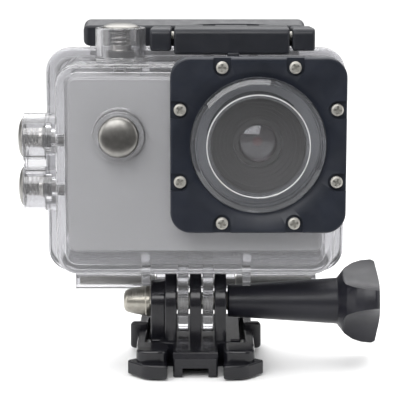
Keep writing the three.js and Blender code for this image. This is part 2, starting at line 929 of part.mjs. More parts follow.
function bush({ baseR, baseTo, collarR }, seat) {
  const boreR = STEM_R + 0.25;
  const profile = [
    [boreR, 0.1],
    [baseR, 0.1],
    [baseR, baseTo],
    [collarR, baseTo],
    [collarR, seat],
    [boreR, seat],
    [boreR, 0.1],
  ];
  return lathe(profile, 12);
}

function buildPlungers() {
  const springR = 2.15;
  const wire = 0.45;
  for (const [name, size] of Object.entries(plungers)) {
    const parent = group(`${name}_button`);
    const place = places[name];
    addPart(parent, `${name}_plunger`, solid(place(plunger(size))), steel());
    const springLength = size.hollowTo - size.seat - 0.2;
    const spring = coilSpring(springR, wire, springLength, size.coils).translate(0, size.seat + 0.1, 0);
    addPart(parent, `${name}_spring`, solid(place(spring)), steel());
    const ring = new THREE.TorusGeometry(1.9, 0.48, 5, 12).rotateX(Math.PI / 2).translate(0, -0.6, 0);
    addPart(parent, `${name}_o_ring`, solid(place(ring)), rubber());
    if (name in bushes) {
      addPart(parent, `${name}_bush`, solid(place(bush(bushes[name], size.seat))), darkPlastic());
    }
  }
}

// ---------------------------------------------------------------- the camera itself

const BATTERY = { left: -25.8, right: 3, front: -8, back: 1.8, bottom: 30.2, top: 63 };

// The door below the battery, or with a clearance the opening that the door fills.
function batteryDoorway(clearance, bottom, top) {
  const sideways = 0.5 + clearance;
  const lengthways = 0.3 + clearance;
  return box(
    BATTERY.left - sideways,
    BATTERY.right + sideways,
    BATTERY.front - lengthways,
    BATTERY.back + lengthways,
    bottom,
    top,
  );
}

function batteryOpening() {
  return batteryDoorway(GAP, camera.bottom - 1, camera.bottom + camera.wall + 0.1);
}

function cameraFrontShell() {
  const tray = prismY(face(camera), camera.front + 0.8, camera.split, 3);
  const facePlate = prismY(face(camera, 0.7), camera.front, camera.front + 1, 3);
  const hollow = prismY(face(camera, camera.wall), camera.front + camera.wall, camera.split + 1, 2);
  return cut(
    cut(join(tray, facePlate), hollow),
    rod("y", BARREL_R + GAP, camera.front - 1, -5, LENS_X, LENS_Z, 28),
    rod("y", 4.2, camera.front - 1, -9, POWER.x, POWER.z),
    batteryOpening(),
  );
}

function cameraRearShell() {
  const tray = prismY(face(camera), camera.split + GAP, camera.back - 0.8, 3);
  const facePlate = prismY(face(camera, 0.7), camera.back - 1, camera.back, 3);
  const hollow = prismY(face(camera, camera.wall), camera.split - 1, camera.back - camera.wall, 2);
  const sideHoles = Object.values(SIDE_BUTTONS).map((z) =>
    rod("x", 3.3, -camera.halfWidth - 1, -camera.halfWidth + 3, 0, z),
  );
  const sockets = box(camera.halfWidth - 2, camera.halfWidth + 1, -0.2, 6.2, 44.8, 61.2);
  return cut(
    cut(join(tray, facePlate), hollow),
    rod("z", 4.2, camera.top - 3, camera.top + 1, SHUTTER_X, 0),
    ...sideHoles,
    sockets,
    prismY(roundedRect(-20.5, 20.5, 34, 64, 1), camera.back - 3, camera.back + 1, 1),
    batteryOpening(),
  );
}

function lensBarrel() {
  return turned(
    "y",
    [
      [BARREL_R, -17],
      [10.2, -17],
      [5.7, -13.2],
      [5.7, -9],
      [4.2, -9],
      [4.2, -2],
      [8, -2],
      [8, -9.4],
      [BARREL_R, -9.4],
      [BARREL_R, -17],
    ].reverse(),
    LENS_X,
    LENS_Z,
    28,
  );
}

// A push button with a flange inside the shell, along an axis, its outer face flush with the shell.
function cameraButton(axis, radius, outer, inwardSign, a, b) {
  const flangeAt = outer + inwardSign * (camera.wall + GAP);
  const back = flangeAt + inwardSign * 0.8;
  return join(
    rod(axis, radius, ...span(outer, back), a, b, 12),
    rod(axis, radius + 0.9, ...span(flangeAt, back), a, b, 12),
  );
}

function buildCameraOptics(parent) {
  addPart(parent, "lens_barrel", lensBarrel(), darkPlastic());
  const element = turned(
    "y",
    [[0, -14.1], [2.6, -13.9], [4.4, -13.2], [5.4, -12.3], [5.4, -11], [0, -11]],
    LENS_X,
    LENS_Z,
    16,
  );
  addPart(parent, "lens_front_element", element, glass());
  addPart(parent, "lens_rear_element", rod("y", 3.9, -7.5, -4, LENS_X, LENS_Z), glass());
  addPart(
    parent,
    "image_sensor",
    box(LENS_X - 4, LENS_X + 4, -1.6, -0.4, LENS_Z - 4, LENS_Z + 4),
    darkPlastic(),
  );
  addPart(
    parent,
    "sensor_board",
    box(LENS_X - 9, LENS_X + 9, -0.1, 0.9, LENS_Z - 9, LENS_Z + 9),
    finish(0x1f5a3a, 0.5),
  );
}

function buildCamera() {
  const body = group("camera");
  addPart(body, "camera_front_shell", cameraFrontShell(), silverPaint());
  addPart(body, "camera_rear_shell", cameraRearShell(), silverPaint());
  buildCameraOptics(body);
  const { left, right, front, back, bottom, top } = BATTERY;
  addPart(body, "battery", box(left, right, front, back, bottom, top), finish(0x3a3f46, 0.5));
  const batteryDoor = batteryDoorway(0, camera.bottom, camera.bottom + camera.wall);
  addPart(body, "battery_door", batteryDoor, silverPaint());
  addPart(body, "main_board", box(-26.5, 23, 4.6, 5.6, 31.5, 66), finish(0x1f5a3a, 0.5));
  addPart(body, "lcd_panel", box(-20, 20, 7.4, 9.6, 34.5, 63.5), finish(0x101216, 0.1));
  addPart(body, "memory_card", box(10, 25, 2, 2.8, 31.5, 42.5), finish(0x18181a, 0.4));
  addPart(body, "speaker", rod("y", 4.5, -9.5, -6.5, 22, 36), darkPlastic());
  addPart(body, "usb_socket", box(24, 29.2, 0.2, 5.8, 45.2, 51.6), steel());
  addPart(body, "hdmi_socket", box(24, 29.2, 0.2, 5.8, 53.4, 60.8), steel());
  const buttons = group("camera_buttons");
  addPart(
    buttons,
    "shutter_key",
    cameraButton("z", 3.9, camera.top, -1, SHUTTER_X, 0),
    steel(),
  );
  addPart(
    buttons,
    "power_key",
    cameraButton("y", 3.9, camera.front, 1, POWER.x, POWER.z),
    steel(),
  );
  for (const [name, z] of Object.entries(SIDE_BUTTONS)) {
    addPart(buttons, `${name}_key`, cameraButton("x", 3, -camera.halfWidth, 1, 0, z), darkPlastic());
  }
}

buildBuckle();
buildCase();
buildPlungers();
buildCamera();

export default actionCamera;
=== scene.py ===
import json
import math

import bmesh
import bpy
from mathutils import Matrix, Vector


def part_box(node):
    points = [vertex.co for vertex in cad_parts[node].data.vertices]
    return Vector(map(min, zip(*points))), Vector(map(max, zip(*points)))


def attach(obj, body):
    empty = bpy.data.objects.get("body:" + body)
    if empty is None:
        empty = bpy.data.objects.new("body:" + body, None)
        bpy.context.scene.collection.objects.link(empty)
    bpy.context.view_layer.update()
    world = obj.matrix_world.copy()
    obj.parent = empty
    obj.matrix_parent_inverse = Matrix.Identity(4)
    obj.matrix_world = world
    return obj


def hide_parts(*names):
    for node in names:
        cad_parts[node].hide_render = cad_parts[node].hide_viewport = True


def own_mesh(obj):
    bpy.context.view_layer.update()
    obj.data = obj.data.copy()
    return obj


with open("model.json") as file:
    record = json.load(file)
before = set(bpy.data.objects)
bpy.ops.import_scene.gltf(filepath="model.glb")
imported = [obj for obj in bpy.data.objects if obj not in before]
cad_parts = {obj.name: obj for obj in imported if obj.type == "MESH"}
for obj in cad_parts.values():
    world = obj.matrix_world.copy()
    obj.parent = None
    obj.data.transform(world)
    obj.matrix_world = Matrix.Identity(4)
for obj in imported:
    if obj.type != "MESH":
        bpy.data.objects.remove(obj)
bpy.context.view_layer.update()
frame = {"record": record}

# Action camera in a clear waterproof case on a quick-release buckle.
# Lengths below are in millimetres, in the model's frame: the lens looks along -Y, and +Z is up.
MM = 0.001
WELD = 1e-6  # metres: points nearer than this are one point


# ---------------------------------------------------------------- places read from the frame

def node_box(*nodes):
    """Lowest and highest corner round some CAD nodes, in millimetres."""
    boxes = [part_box(node) for node in nodes]
    low = Vector([min(box[0][k] for box in boxes) for k in range(3)])
    high = Vector([max(box[1][k] for box in boxes) for k in range(3)])
    return low / MM, high / MM


def middle(node):
    low, high = node_box(node)
    return (low + high) / 2


def by_node(rows, key):
    return {row["node"]: row[key] for row in rows}


SLOT_OF = by_node(frame["record"]["subparts"], "material_slot")
BODY_OF = {
    node: body
    for body, nodes in frame["record"]["behaviour"]["bodies"].items()
    for node in nodes
}

CAMERA_LOW, CAMERA_HIGH = node_box("camera_front_shell", "camera_rear_shell")
CASE_LOW, CASE_HIGH = node_box("housing_front")
LENS = middle("lens_port")
POWER = middle("power_plunger")
SHUTTER = middle("shutter_plunger")
PIVOT = middle("screw_rod")
LEVER_PIN = middle("lever_pivot_pin")
CLAW_PIN = middle("claw_pin")
HINGE_PIN = middle("door_hinge_pin")

GAP = 0.3  # between neighbouring pieces
SLIP = 0.15  # round the steel rod, in the knob
LATCH_BORE = 1.05  # radius of the holes for the latch's two pins
HINGE_BORE = 1.15
SCREW_BORE = 1.1

# The clear case: its shell stands round the camera, and its rim is the widest part.
WALL = 2.0
SHELL_LEFT, SHELL_RIGHT = CAMERA_LOW.x - 2.7, CAMERA_HIGH.x + 2.7
SHELL_BOTTOM, SHELL_TOP = CAMERA_LOW.z - 4.8, CAMERA_HIGH.z + 3.2
SHELL_FRONT = CAMERA_LOW.y - 3
RIM_SIDE = CASE_HIGH.x
RIM_BOTTOM, RIM_TOP = 19.5, 74.2
RIM_FRONT, RIM_BACK = 7.9, 10.2
DOOR_FRONT, DOOR_BACK = RIM_BACK + GAP, 13.0
LIP_TOP = node_box("back_door")[1].z
HINGE_HALF = 9.7  # the case's own knuckle
HINGE_END = 29.5
TUBE_R = 5.9
STEM_R = 1.25
STEM_BORE = STEM_R + 0.25
SIDE_FLOOR, SIDE_TUBE_RIM = -35.2, -40.7
PRONG_STEP = 2.95
PRONG_R = PIVOT.z - CASE_LOW.z
ROD_R = node_box("screw_rod")[1].z - PIVOT.z


# ---------------------------------------------------------------- outlines

def rect(a0, a1, b0, b1, radius):
    return [(a0, b0, radius), (a1, b0, radius), (a1, b1, radius), (a0, b1, radius)]


def bends(corners):
    """For each corner (a, b, radius): its point, radius, left-hand normal, shift per inset, and turn."""
    count = len(corners)
    for index, (a, b, radius) in enumerate(corners):
        here = Vector((a, b))
        into = (here - Vector(corners[index - 1][:2])).normalized()
        out = (Vector(corners[(index + 1) % count][:2]) - here).normalized()
        normal_in = Vector((-into.y, into.x))
        normal_out = Vector((-out.y, out.x))
        spread = (normal_in + normal_out) / (1 + normal_in.dot(normal_out))
        turn = math.atan2(into.x * out.y - into.y * out.x, into.dot(out))
        yield here, radius, normal_in, spread, turn


def shrunk(corners, inset):
    """The outline moved inwards: outer corners get tighter, inner ones wider."""
    moved = []
    for here, radius, _, spread, turn in bends(corners):
        place = here + spread * inset
        moved.append((place.x, place.y, max(radius - math.copysign(inset, turn), 0)))
    return moved


def outline(corners, steps=8):
    """Points round a polygon with each corner rounded by its own radius."""
    points = []
    for here, radius, normal, spread, turn in bends(corners):
        side = math.copysign(1, turn)
        centre = here + spread * side * radius
        for step in range(steps + 1):
            points.append(centre - side * radius * (Matrix.Rotation(turn * step / steps, 2) @ normal))
    return points


def dome(radius, height, top, steps=10):
    """A spherical crown as (radius, station) points, from its rim to its top on the axis."""
    ball = (radius * radius + height * height) / (2 * height)
    widest = math.asin(min(radius / ball, 1))
    angles = [widest * (1 - step / steps) for step in range(steps + 1)]
    return [(ball * math.sin(angle), top - ball * (1 - math.cos(angle)), 0) for angle in angles]


# ---------------------------------------------------------------- solids

def place(axis, a, b, station):
    return {"x": (station, a, b), "y": (a, station, b), "z": (a, b, station)}[axis]


def loft(name, loops, closed=False):
    """A closed surface through loops of equally many points, capped at both ends unless it closes."""
    bm = bmesh.new()
    rings = [[bm.verts.new(Vector(point) * MM) for point in loop] for loop in loops]
    count = len(rings[0])
    pairs = list(zip(rings, rings[1:] + rings[:1])) if closed else list(zip(rings, rings[1:]))
    for lower, upper in pairs:
        for k in range(count):
            following = (k + 1) % count
            bm.faces.new((lower[k], lower[following], upper[following], upper[k]))
    if not closed:
        bm.faces.new(rings[0])
        bm.faces.new(rings[-1])
    bmesh.ops.remove_doubles(bm, verts=bm.verts, dist=WELD)
    bare = [edge for edge in bm.edges if not edge.link_faces]
    bmesh.ops.delete(bm, geom=bare, context="EDGES")
    bmesh.ops.recalc_face_normals(bm, faces=bm.faces)
    mesh = bpy.data.meshes.new(name)
    bm.to_mesh(mesh)
    bm.free()
    made = bpy.data.objects.new(name, mesh)
    bpy.context.collection.objects.link(made)
    return made


def slab(name, corners, axis, low, high, rims=(0, 0), steps=8):
    """An outline drawn out along an axis, with its two edges rounded by rims."""
    quarter = [math.pi / 2 * k / 5 for k in range(6)]
    levels = [(rims[0] * (1 - math.sin(q)), low + rims[0] * (1 - math.cos(q))) for q in quarter]
    levels += [
        (rims[1] * (1 - math.sin(q)), high - rims[1] * (1 - math.cos(q))) for q in reversed(quarter)
    ]
    return loft(
        name,
        [
            [place(axis, a, b, station) for a, b in outline(shrunk(corners, inset), steps)]
            for inset, station in levels
        ],
    )


def lathe(name, profile, axis, a, b, sides=72, steps=4):
    """A profile of (radius, station, rounding) corners turned about an axis through a, b."""
    points = outline(profile, steps)
    angles = [2 * math.pi * side / sides for side in range(sides)]
    loops = [
        [place(axis, a + r * math.cos(angle), b + r * math.sin(angle), s) for r, s in points]
        for angle in angles
    ]
    return loft(name, loops, closed=True)


def rod(name, axis, radius, low, high, a, b, sides=32, rim=0.0):
    profile = [(0, low, 0), (radius, low, rim), (radius, high, rim), (0, high, 0)]
    return lathe(name, profile, axis, a, b, sides)


def about_lens(name, profile, sides=128, steps=4):
    return lathe(name, profile, "y", LENS.x, LENS.z, sides, steps)


def about_screw(name, profile, sides, steps=8):
    """A profile turned about the thumb screw."""
    return lathe(name, profile, "x", PIVOT.y, PIVOT.z, sides, steps)


def about_button(name, profile, button, sides=72, steps=4):
    return lathe(name, profile, button["axis"], *button["across"], sides, steps)


def rod_bore(low, high, slip=GAP):
    """The hole that the thumb screw's rod passes through."""
    return rod("bore", "x", ROD_R + slip, low, high, PIVOT.y, PIVOT.z, 48)


def oval(centre, half, count):
    """Points round an oval, from its centre and its two half widths."""
    angles = [2 * math.pi * k / count for k in range(count)]
    return [
        (centre[0] + half[0] * math.cos(angle), centre[1] + half[1] * math.sin(angle))
        for angle in angles
    ]


def hexagon(radius):
    """The outline of a nut or its pocket, about the thumb screw."""
    angles = [math.radians(60 * k) for k in range(6)]
    return [(radius * math.cos(angle), PIVOT.z + radius * math.sin(angle), 0.2) for angle in angles]


def moulding(name, corners, section, axis, steps=8):
    """A closed section of (inset, station) points carried round an outline."""
    loops = [
        [place(axis, a, b, station) for a, b in outline(shrunk(corners, inset), steps)]
        for inset, station in section
    ]
    return loft(name, loops, closed=True)


def coil(name, axis, radius, wire, low, high, turns, a, b):
    """A compression spring with closed, flat end coils."""
    per_turn, sides = 40, 10
    count = turns * per_turn
    start, end = low + wire / 2, high - wire / 2
    loops = []
    for k in range(count + 1):
        share = k / count
        eased = share * share * (3 - 2 * share)
        angle = 2 * math.pi * turns * share
        station = start + (end - start) * (0.35 * share + 0.65 * eased)
        loop = []
        for side in range(sides):
            round_wire = 2 * math.pi * side / sides
            reach = radius + wire / 2 * math.cos(round_wire)
            rise = station + wire / 2 * math.sin(round_wire)
            loop.append(place(axis, a + reach * math.cos(angle), b + reach * math.sin(angle), rise))
        loops.append(loop)
    return loft(name, loops)


def combine(body, tools, operation):
    for tool in tools:
        modifier = body.modifiers.new("combine", "BOOLEAN")
        modifier.operation = operation
        modifier.solver = "MANIFOLD"
        modifier.object = tool
    graph = bpy.context.evaluated_depsgraph_get()
    mesh = bpy.data.meshes.new_from_object(body.evaluated_get(graph))
    body.modifiers.clear()
    body.data = mesh
    for tool in tools:
        bpy.data.objects.remove(tool)
    return body


def union(body, *tools):
    return combine(body, tools, "UNION")


def cut(body, *tools):
    return combine(body, tools, "DIFFERENCE")


# ---------------------------------------------------------------- materials

class Paint:
    """A material's Principled shader and the procedural textures that feed it."""

    def __init__(self, name, **sockets):
        self.material = bpy.data.materials.new(name)
        self.material.use_nodes = True
        self.nodes = self.material.node_tree.nodes
        self.links = self.material.node_tree.links
        self.shader = self.nodes["Principled BSDF"]
        for socket, value in sockets.items():
            self.shader.inputs[socket.replace("_", " ")].default_value = value

    def noise(self, feature_mm, detail=2.0, stretch=(1, 1, 1)):
        """Noise in object space; a feature is about feature_mm across."""
        coordinates = self.nodes.new("ShaderNodeTexCoord")
        mapping = self.nodes.new("ShaderNodeMapping")
        mapping.inputs["Scale"].default_value = stretch
        texture = self.nodes.new("ShaderNodeTexNoise")
        texture.inputs["Scale"].default_value = 1 / (feature_mm * MM)
        texture.inputs["Detail"].default_value = detail
        self.links.new(coordinates.outputs["Object"], mapping.inputs["Vector"])
        self.links.new(mapping.outputs["Vector"], texture.inputs["Vector"])
        return texture.outputs["Fac"]

    def vary(self, socket, source, low, high):
        """Drives a number socket between two values."""
        spread = self.nodes.new("ShaderNodeMapRange")
        spread.inputs["From Min"].default_value = 0.3
        spread.inputs["From Max"].default_value = 0.7
        spread.inputs["To Min"].default_value = low
        spread.inputs["To Max"].default_value = high
        self.links.new(source, spread.inputs["Value"])
        self.links.new(spread.outputs["Result"], self.shader.inputs[socket])

    def tint(self, source, dark, light):
        """Drives the base colour between two colours."""
        ramp = self.nodes.new("ShaderNodeValToRGB")
        ramp.color_ramp.elements[0].position = 0.3
        ramp.color_ramp.elements[0].color = (*dark, 1)
        ramp.color_ramp.elements[1].position = 0.7
        ramp.color_ramp.elements[1].color = (*light, 1)
        self.links.new(source, ramp.inputs["Fac"])
        self.links.new(ramp.outputs["Color"], self.shader.inputs["Base Color"])

    def bump(self, source, height_mm, strength=1.0):
        relief = self.nodes.new("ShaderNodeBump")
        relief.inputs["Strength"].default_value = strength
        relief.inputs["Distance"].default_value = height_mm * MM
        self.links.new(source, relief.inputs["Height"])
        self.links.new(relief.outputs["Normal"], self.shader.inputs["Normal"])

    def lets_lamps_through(self, shade):
        """Shadows of the clear pieces: lamps shine through them, slightly dimmed."""
        path = self.nodes.new("ShaderNodeLightPath")
        clear = self.nodes.new("ShaderNodeBsdfTransparent")
        clear.inputs["Color"].default_value = (shade, shade, shade, 1)
        mix = self.nodes.new("ShaderNodeMixShader")
        output = self.nodes["Material Output"]
        self.links.new(path.outputs["Is Shadow Ray"], mix.inputs[0])
        self.links.new(self.shader.outputs["BSDF"], mix.inputs[1])
        self.links.new(clear.outputs["BSDF"], mix.inputs[2])
        self.links.new(mix.outputs["Shader"], output.inputs["Surface"])


def grey(value):
    return (value, value, value)


def moulded(name, colour, gloss, grain_mm, relief_mm, **sockets):
    """Moulded plastic: a fine texture, and a gloss that changes slightly over the surface."""
    paint = Paint(name, **sockets)
    lighter = [min(c * 1.35 + 0.002, 1) for c in colour]
    paint.tint(paint.noise(6, 3), colour, lighter)
    paint.vary("Roughness", paint.noise(2.5, 4), *gloss)
    paint.bump(paint.noise(grain_mm, 2), relief_mm)
    return paint.material


def clear_plastic(name, colour, clearness, gloss, shade, ripple_mm, **sockets):
    """Clear moulding: less than full clearness gives it a faint milky haze."""
    paint = Paint(
        name,
        Base_Color=(*colour, 1),
        IOR=1.49,
        Transmission_Weight=clearness,
        Roughness=gloss,
        **sockets,
    )
    paint.bump(paint.noise(7, 1), ripple_mm)
    paint.lets_lamps_through(shade)
    return paint.material


def metal(name, dark, light, gloss, line_mm, stretch, relief_mm):
    """Metal with fine machining lines; stretch sets which way they run."""
    paint = Paint(name, Metallic=1.0)
    lines = paint.noise(line_mm, 3, stretch)
    paint.tint(paint.noise(1.5, 3), dark, light)
    paint.vary("Roughness", lines, *gloss)
    paint.bump(lines, relief_mm)
    return paint.material


def silver_paint():
    """Silver paint: small metal flakes under a satin coat."""
    paint = Paint("camera_silver", Metallic=0.35, Coat_Weight=0.25, Coat_Roughness=0.3)
    paint.tint(paint.noise(0.12, 1), grey(0.46), grey(0.5))
    paint.vary("Roughness", paint.noise(3, 4), 0.36, 0.44)
    paint.bump(paint.noise(0.2, 2), 0.0005)
    return paint.material


def rubber(name, colour, relief_mm=0.01):
    paint = Paint(name)
    paint.tint(paint.noise(1.2, 4), colour, [min(c * 1.3 + 0.01, 1) for c in colour])
    paint.vary("Roughness", paint.noise(0.6, 3), 0.55, 0.75)
    paint.bump(paint.noise(0.15, 2), relief_mm)
    return paint.material


def board_green():
    """Circuit board: solder mask over copper tracks."""
    paint = Paint("board_green")
    tracks = paint.noise(0.9, 0, (1, 1, 0.12))
    paint.tint(tracks, (0.008, 0.05, 0.025), (0.03, 0.16, 0.08))
    paint.vary("Roughness", paint.noise(1, 2), 0.25, 0.45)
    paint.bump(tracks, 0.02)
    return paint.material


def coated_glass(name, colour, clearness):
    """Lens glass with a faint violet reflection."""
    paint = Paint(
        name,
        Base_Color=(*colour, 1),
        IOR=1.6,
        Transmission_Weight=clearness,
        Coat_Weight=0.1,
        Specular_IOR_Level=0.2,
        Coat_Tint=(0.8, 0.7, 0.95, 1),
    )
    paint.vary("Roughness", paint.noise(2, 2), 0.02, 0.04)
    paint.lets_lamps_through(0.6)
    return paint.material


ALONG_X = (1, 0.02, 0.02)  # lines run round the X axis
FINE = (1, 1, 1)

MATERIALS = {
    "buckle_black": moulded(
        "buckle_black", (0.005, 0.005, 0.007), (0.14, 0.24), 0.5, 0.006, Specular_IOR_Level=0.4
    ),
    "latch_black": moulded(
        "latch_black", (0.01, 0.011, 0.015), (0.32, 0.44), 0.16, 0.008, Specular_IOR_Level=0.34
    ),
    "knob_black": moulded(
        "knob_black", (0.008, 0.008, 0.012), (0.3, 0.42), 0.16, 0.008, Specular_IOR_Level=0.35
    ),
    "frame_black": moulded(
        "frame_black", (0.006, 0.008, 0.014), (0.36, 0.48), 0.12, 0.008, Specular_IOR_Level=0.35
    ),
    "clear_case": clear_plastic("clear_case", (0.62, 0.62, 0.635), 0.93, 0.05, 0.8, 0.006),
    "clear_port": clear_plastic(
        "clear_port", (0.43, 0.44, 0.465), 0.96, 0.02, 0.8, 0.004, Specular_IOR_Level=0.25
    ),
    "window_glass": clear_plastic(
        "window_glass", (0.9, 0.91, 0.93), 1.0, 0.0, 0.92, 0.001, Specular_IOR_Level=0.2
    ),
    "lens_glass": coated_glass("lens_glass", (0.27, 0.235, 0.235), 0.97),
    "filter_glass": coated_glass("filter_glass", (0.85, 0.2, 0.17), 0.6),
    "nut_nickel": metal(
        "nut_nickel", (0.3, 0.285, 0.25), (0.37, 0.355, 0.315), (0.26, 0.38), 0.12, ALONG_X, 0.0008
    ),
    "screw_steel": metal(
        "screw_steel", (0.36, 0.35, 0.32), (0.46, 0.45, 0.42), (0.5, 0.62), 0.2, FINE, 0.003
    ),
    "spring_steel": metal(
        "spring_steel", (0.5, 0.48, 0.44), (0.66, 0.64, 0.6), (0.14, 0.26), 0.2, FINE, 0.002
    ),
    "button_metal": metal(
        "button_metal", (0.2, 0.195, 0.185), (0.26, 0.253, 0.24), (0.32, 0.38), 0.1, FINE, 0.001
    ),
    "camera_silver": silver_paint(),
    "barrel_dark": moulded(
        "barrel_dark", (0.008, 0.007, 0.007), (0.4, 0.5), 0.3, 0.002, Specular_IOR_Level=0.28
    ),
    "bush_dark": moulded("bush_dark", (0.012, 0.012, 0.012), (0.35, 0.5), 0.2, 0.01),
    "seal_rubber": rubber("seal_rubber", (0.012, 0.012, 0.013)),
    "seal_silicone": rubber("seal_silicone", (0.36, 0.36, 0.36)),
    "board_green": board_green(),
    "battery_wrap": moulded("battery_wrap", (0.03, 0.034, 0.045), (0.2, 0.32), 0.8, 0.02),
    "screen_black": moulded("screen_black", (0.004, 0.004, 0.006), (0.05, 0.09), 3, 0.001),
    "card_black": moulded("card_black", (0.012, 0.012, 0.012), (0.4, 0.55), 0.2, 0.01),
}


# ---------------------------------------------------------------- finishing a piece

def smooth(made, angle=32):
    for polygon in made.data.polygons:
        polygon.use_smooth = True
    made.data.set_sharp_from_angle(angle=math.radians(angle))
    weighted = made.modifiers.new("weighted", "WEIGHTED_NORMAL")
    weighted.keep_sharp = True


def extra(made, body, slot):
    """A piece with no CAD node of its own, which rides on a body."""
    made.data.materials.clear()
    made.data.materials.append(MATERIALS[slot])
    smooth(made)
    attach(made, body)
    return made


def stands_for(made, node):
    """A finished piece that takes a CAD node's place, body and material."""
    extra(made, BODY_OF[node], SLOT_OF[node])
    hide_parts(node)
    return made


def pin(node, axis, rim=0.2):
    """A plain pin in place of a round node."""
    low, high = node_box(node)
    centre = (low + high) / 2
    k = "xyz".index(axis)
    across = [centre[j] for j in range(3) if j != k]
    radius = max(high[j] - low[j] for j in range(3) if j != k) / 2
    made = rod(f"{node}_fine", axis, radius, low[k], high[k], *across, sides=48, rim=rim)
    return stands_for(made, node)


# ---------------------------------------------------------------- clear case

SHELL = rect(SHELL_LEFT, SHELL_RIGHT, SHELL_BOTTOM, SHELL_TOP, 5)
RIM = rect(-RIM_SIDE, RIM_SIDE, RIM_BOTTOM, RIM_TOP, 5.8)
INSIDE = shrunk(SHELL, WALL)
INNER_FRONT = SHELL_FRONT + 2.2
INNER_BOTTOM, INNER_TOP = SHELL_BOTTOM + WALL, SHELL_TOP - WALL
FRAME_HALF = 20.0
RIBS_X = (-11.7, 12)
LUG_SPANS = ((2, 4.4), (12.4, 14.8))

# Each button: the axis it moves along, which way is outwards, the tube's floor and rim, and its place.
BUTTONS = {
    "shutter": {"axis": "z", "out": 1, "wall": SHELL_TOP, "floor": SHELL_TOP, "rim": 79.7},
    "power": {"axis": "y", "out": -1, "wall": SHELL_FRONT, "floor": SHELL_FRONT, "rim": -16.4},
    "up": {"axis": "x", "out": -1, "wall": SHELL_LEFT, "floor": SIDE_FLOOR, "rim": SIDE_TUBE_RIM},
    "down": {"axis": "x", "out": -1, "wall": SHELL_LEFT, "floor": SIDE_FLOOR, "rim": SIDE_TUBE_RIM},
}
for button_name, button in BUTTONS.items():
    spot = middle(f"{button_name}_plunger")
    low_corner, high_corner = node_box(f"{button_name}_plunger")
    axis_index = "xyz".index(button["axis"])
    button["across"] = [spot[k] for k in range(3) if k != axis_index]
    cross_index = (axis_index + 1) % 3
    button["cap_r"] = (high_corner - low_corner)[cross_index] / 2
    ends = (low_corner[axis_index], high_corner[axis_index])
    button["tip"], button["crown"] = ends if button["out"] > 0 else ends[::-1]


def guard_tube(button):
    """A tube on a small foot, before it is bored."""
    out, wall, rim = button["out"], button["wall"], button["rim"]
    sink, foot = wall - out * 0.4, wall + out * 0.02
    profile = [
        (0, sink, 0),
        (TUBE_R + 1, sink, 0),
        (TUBE_R + 1, foot, 0),
        (TUBE_R, foot, 0.8),
        (TUBE_R, rim, 0.35),
        (0, rim, 0),
    ]
    return about_button("tube", profile, button, 96)


def guard_bores(button):
    out, floor, rim = button["out"], button["floor"], button["rim"]
    bore = button["cap_r"] + GAP
    past = rim + out
    deep = floor - out * 1.2
    inside = button["wall"] - out * 3.2
    well = [
        (0, floor, 0),
        (bore, floor, 0.4),
        (bore, rim - out * 0.25, 0.2),
        (bore + 0.4, rim + out * 0.3, 0),
        (bore + 0.4, past, 0),
        (0, past, 0),
    ]
    ring_seat = [(0, deep, 0), (2.5, deep, 0.1), (2.5, floor + out * 0.1, 0), (0, floor + out * 0.1, 0)]
    stem = [(0, inside, 0), (STEM_BORE, inside, 0), (STEM_BORE, floor, 0), (0, floor, 0)]
    return [about_button("bore", profile, button, 96) for profile in (well, ring_seat, stem)]


def prong(x, thickness, radius, low, high, rim=0.35):
    """A clamp prong: round at one end about the thumb screw, straight at the other."""
    if high > low:
        corners = [(-radius, low, 0), (radius, low, 0), (radius, high, radius), (-radius, high, radius)]
    else:
        corners = [(radius, low, 0), (-radius, low, 0), (-radius, high, radius), (radius, high, radius)]
    return slab("prong", corners, "x", x - thickness / 2, x + thickness / 2, (rim, rim), 20)


def case_shell():
    """Shell and rim, the pad behind the lens frame and the bridge between the side tubes."""
    body = slab("case_front", SHELL, "y", SHELL_FRONT, RIM_FRONT + 0.5, (1.1, 0), 12)
    rim = slab("rim", RIM, "y", RIM_FRONT, RIM_BACK, (0.7, 0.3), 14)
    half = FRAME_HALF - 0.5
    pad_outline = rect(LENS.x - half, LENS.x + half, LENS.z - half, LENS.z + half, 4.4)
    pad = slab("pad", pad_outline, "y", SHELL_FRONT - 0.01, -8.5, (0.3, 0), 10)
    up_z, down_z = BUTTONS["up"]["across"][1], BUTTONS["down"]["across"][1]
    bridge_outline = rect(-4.6, 4.6, down_z, up_z, 0.3)
    bridge = slab("bridge", bridge_outline, "x", -40.3, SHELL_LEFT + 0.5, (0.8, 0), 4)
    return union(body, rim, pad, bridge)


def rest_ribs():
    """Ribs that the camera rests between."""
    spans = ((INNER_BOTTOM - 0.3, CAMERA_LOW.z - GAP), (CAMERA_HIGH.z + GAP, INNER_TOP + 0.3))
    return [
        slab("rib", rect(x - 1, x + 1, -10.5, 6, 0.4), "z", low, high, (0, 0), 4)
        for x in RIBS_X
        for low, high in spans
    ]


def rim_ribs():
    """Ribs under the case that stiffen its rim, in line with the ribs inside."""
    low, high = RIM_BOTTOM + 0.1, SHELL_BOTTOM + 0.5
    return [
        slab("rib", rect(x - 1, x + 1, -9, RIM_FRONT + 0.5, 0.4), "z", low, high) for x in RIBS_X
    ]


def lever_lugs():
    half, base = 1.9, SHELL_TOP - 0.5
    y, z = LEVER_PIN.y, LEVER_PIN.z
    top = z + half
    corners = [(y - half, base, 0), (y + half, base, 0), (y + half, top, half), (y - half, top, half)]
    return [slab("lug", corners, "x", x0, x1, (0.2, 0.2), 12) for x0, x1 in LUG_SPANS]


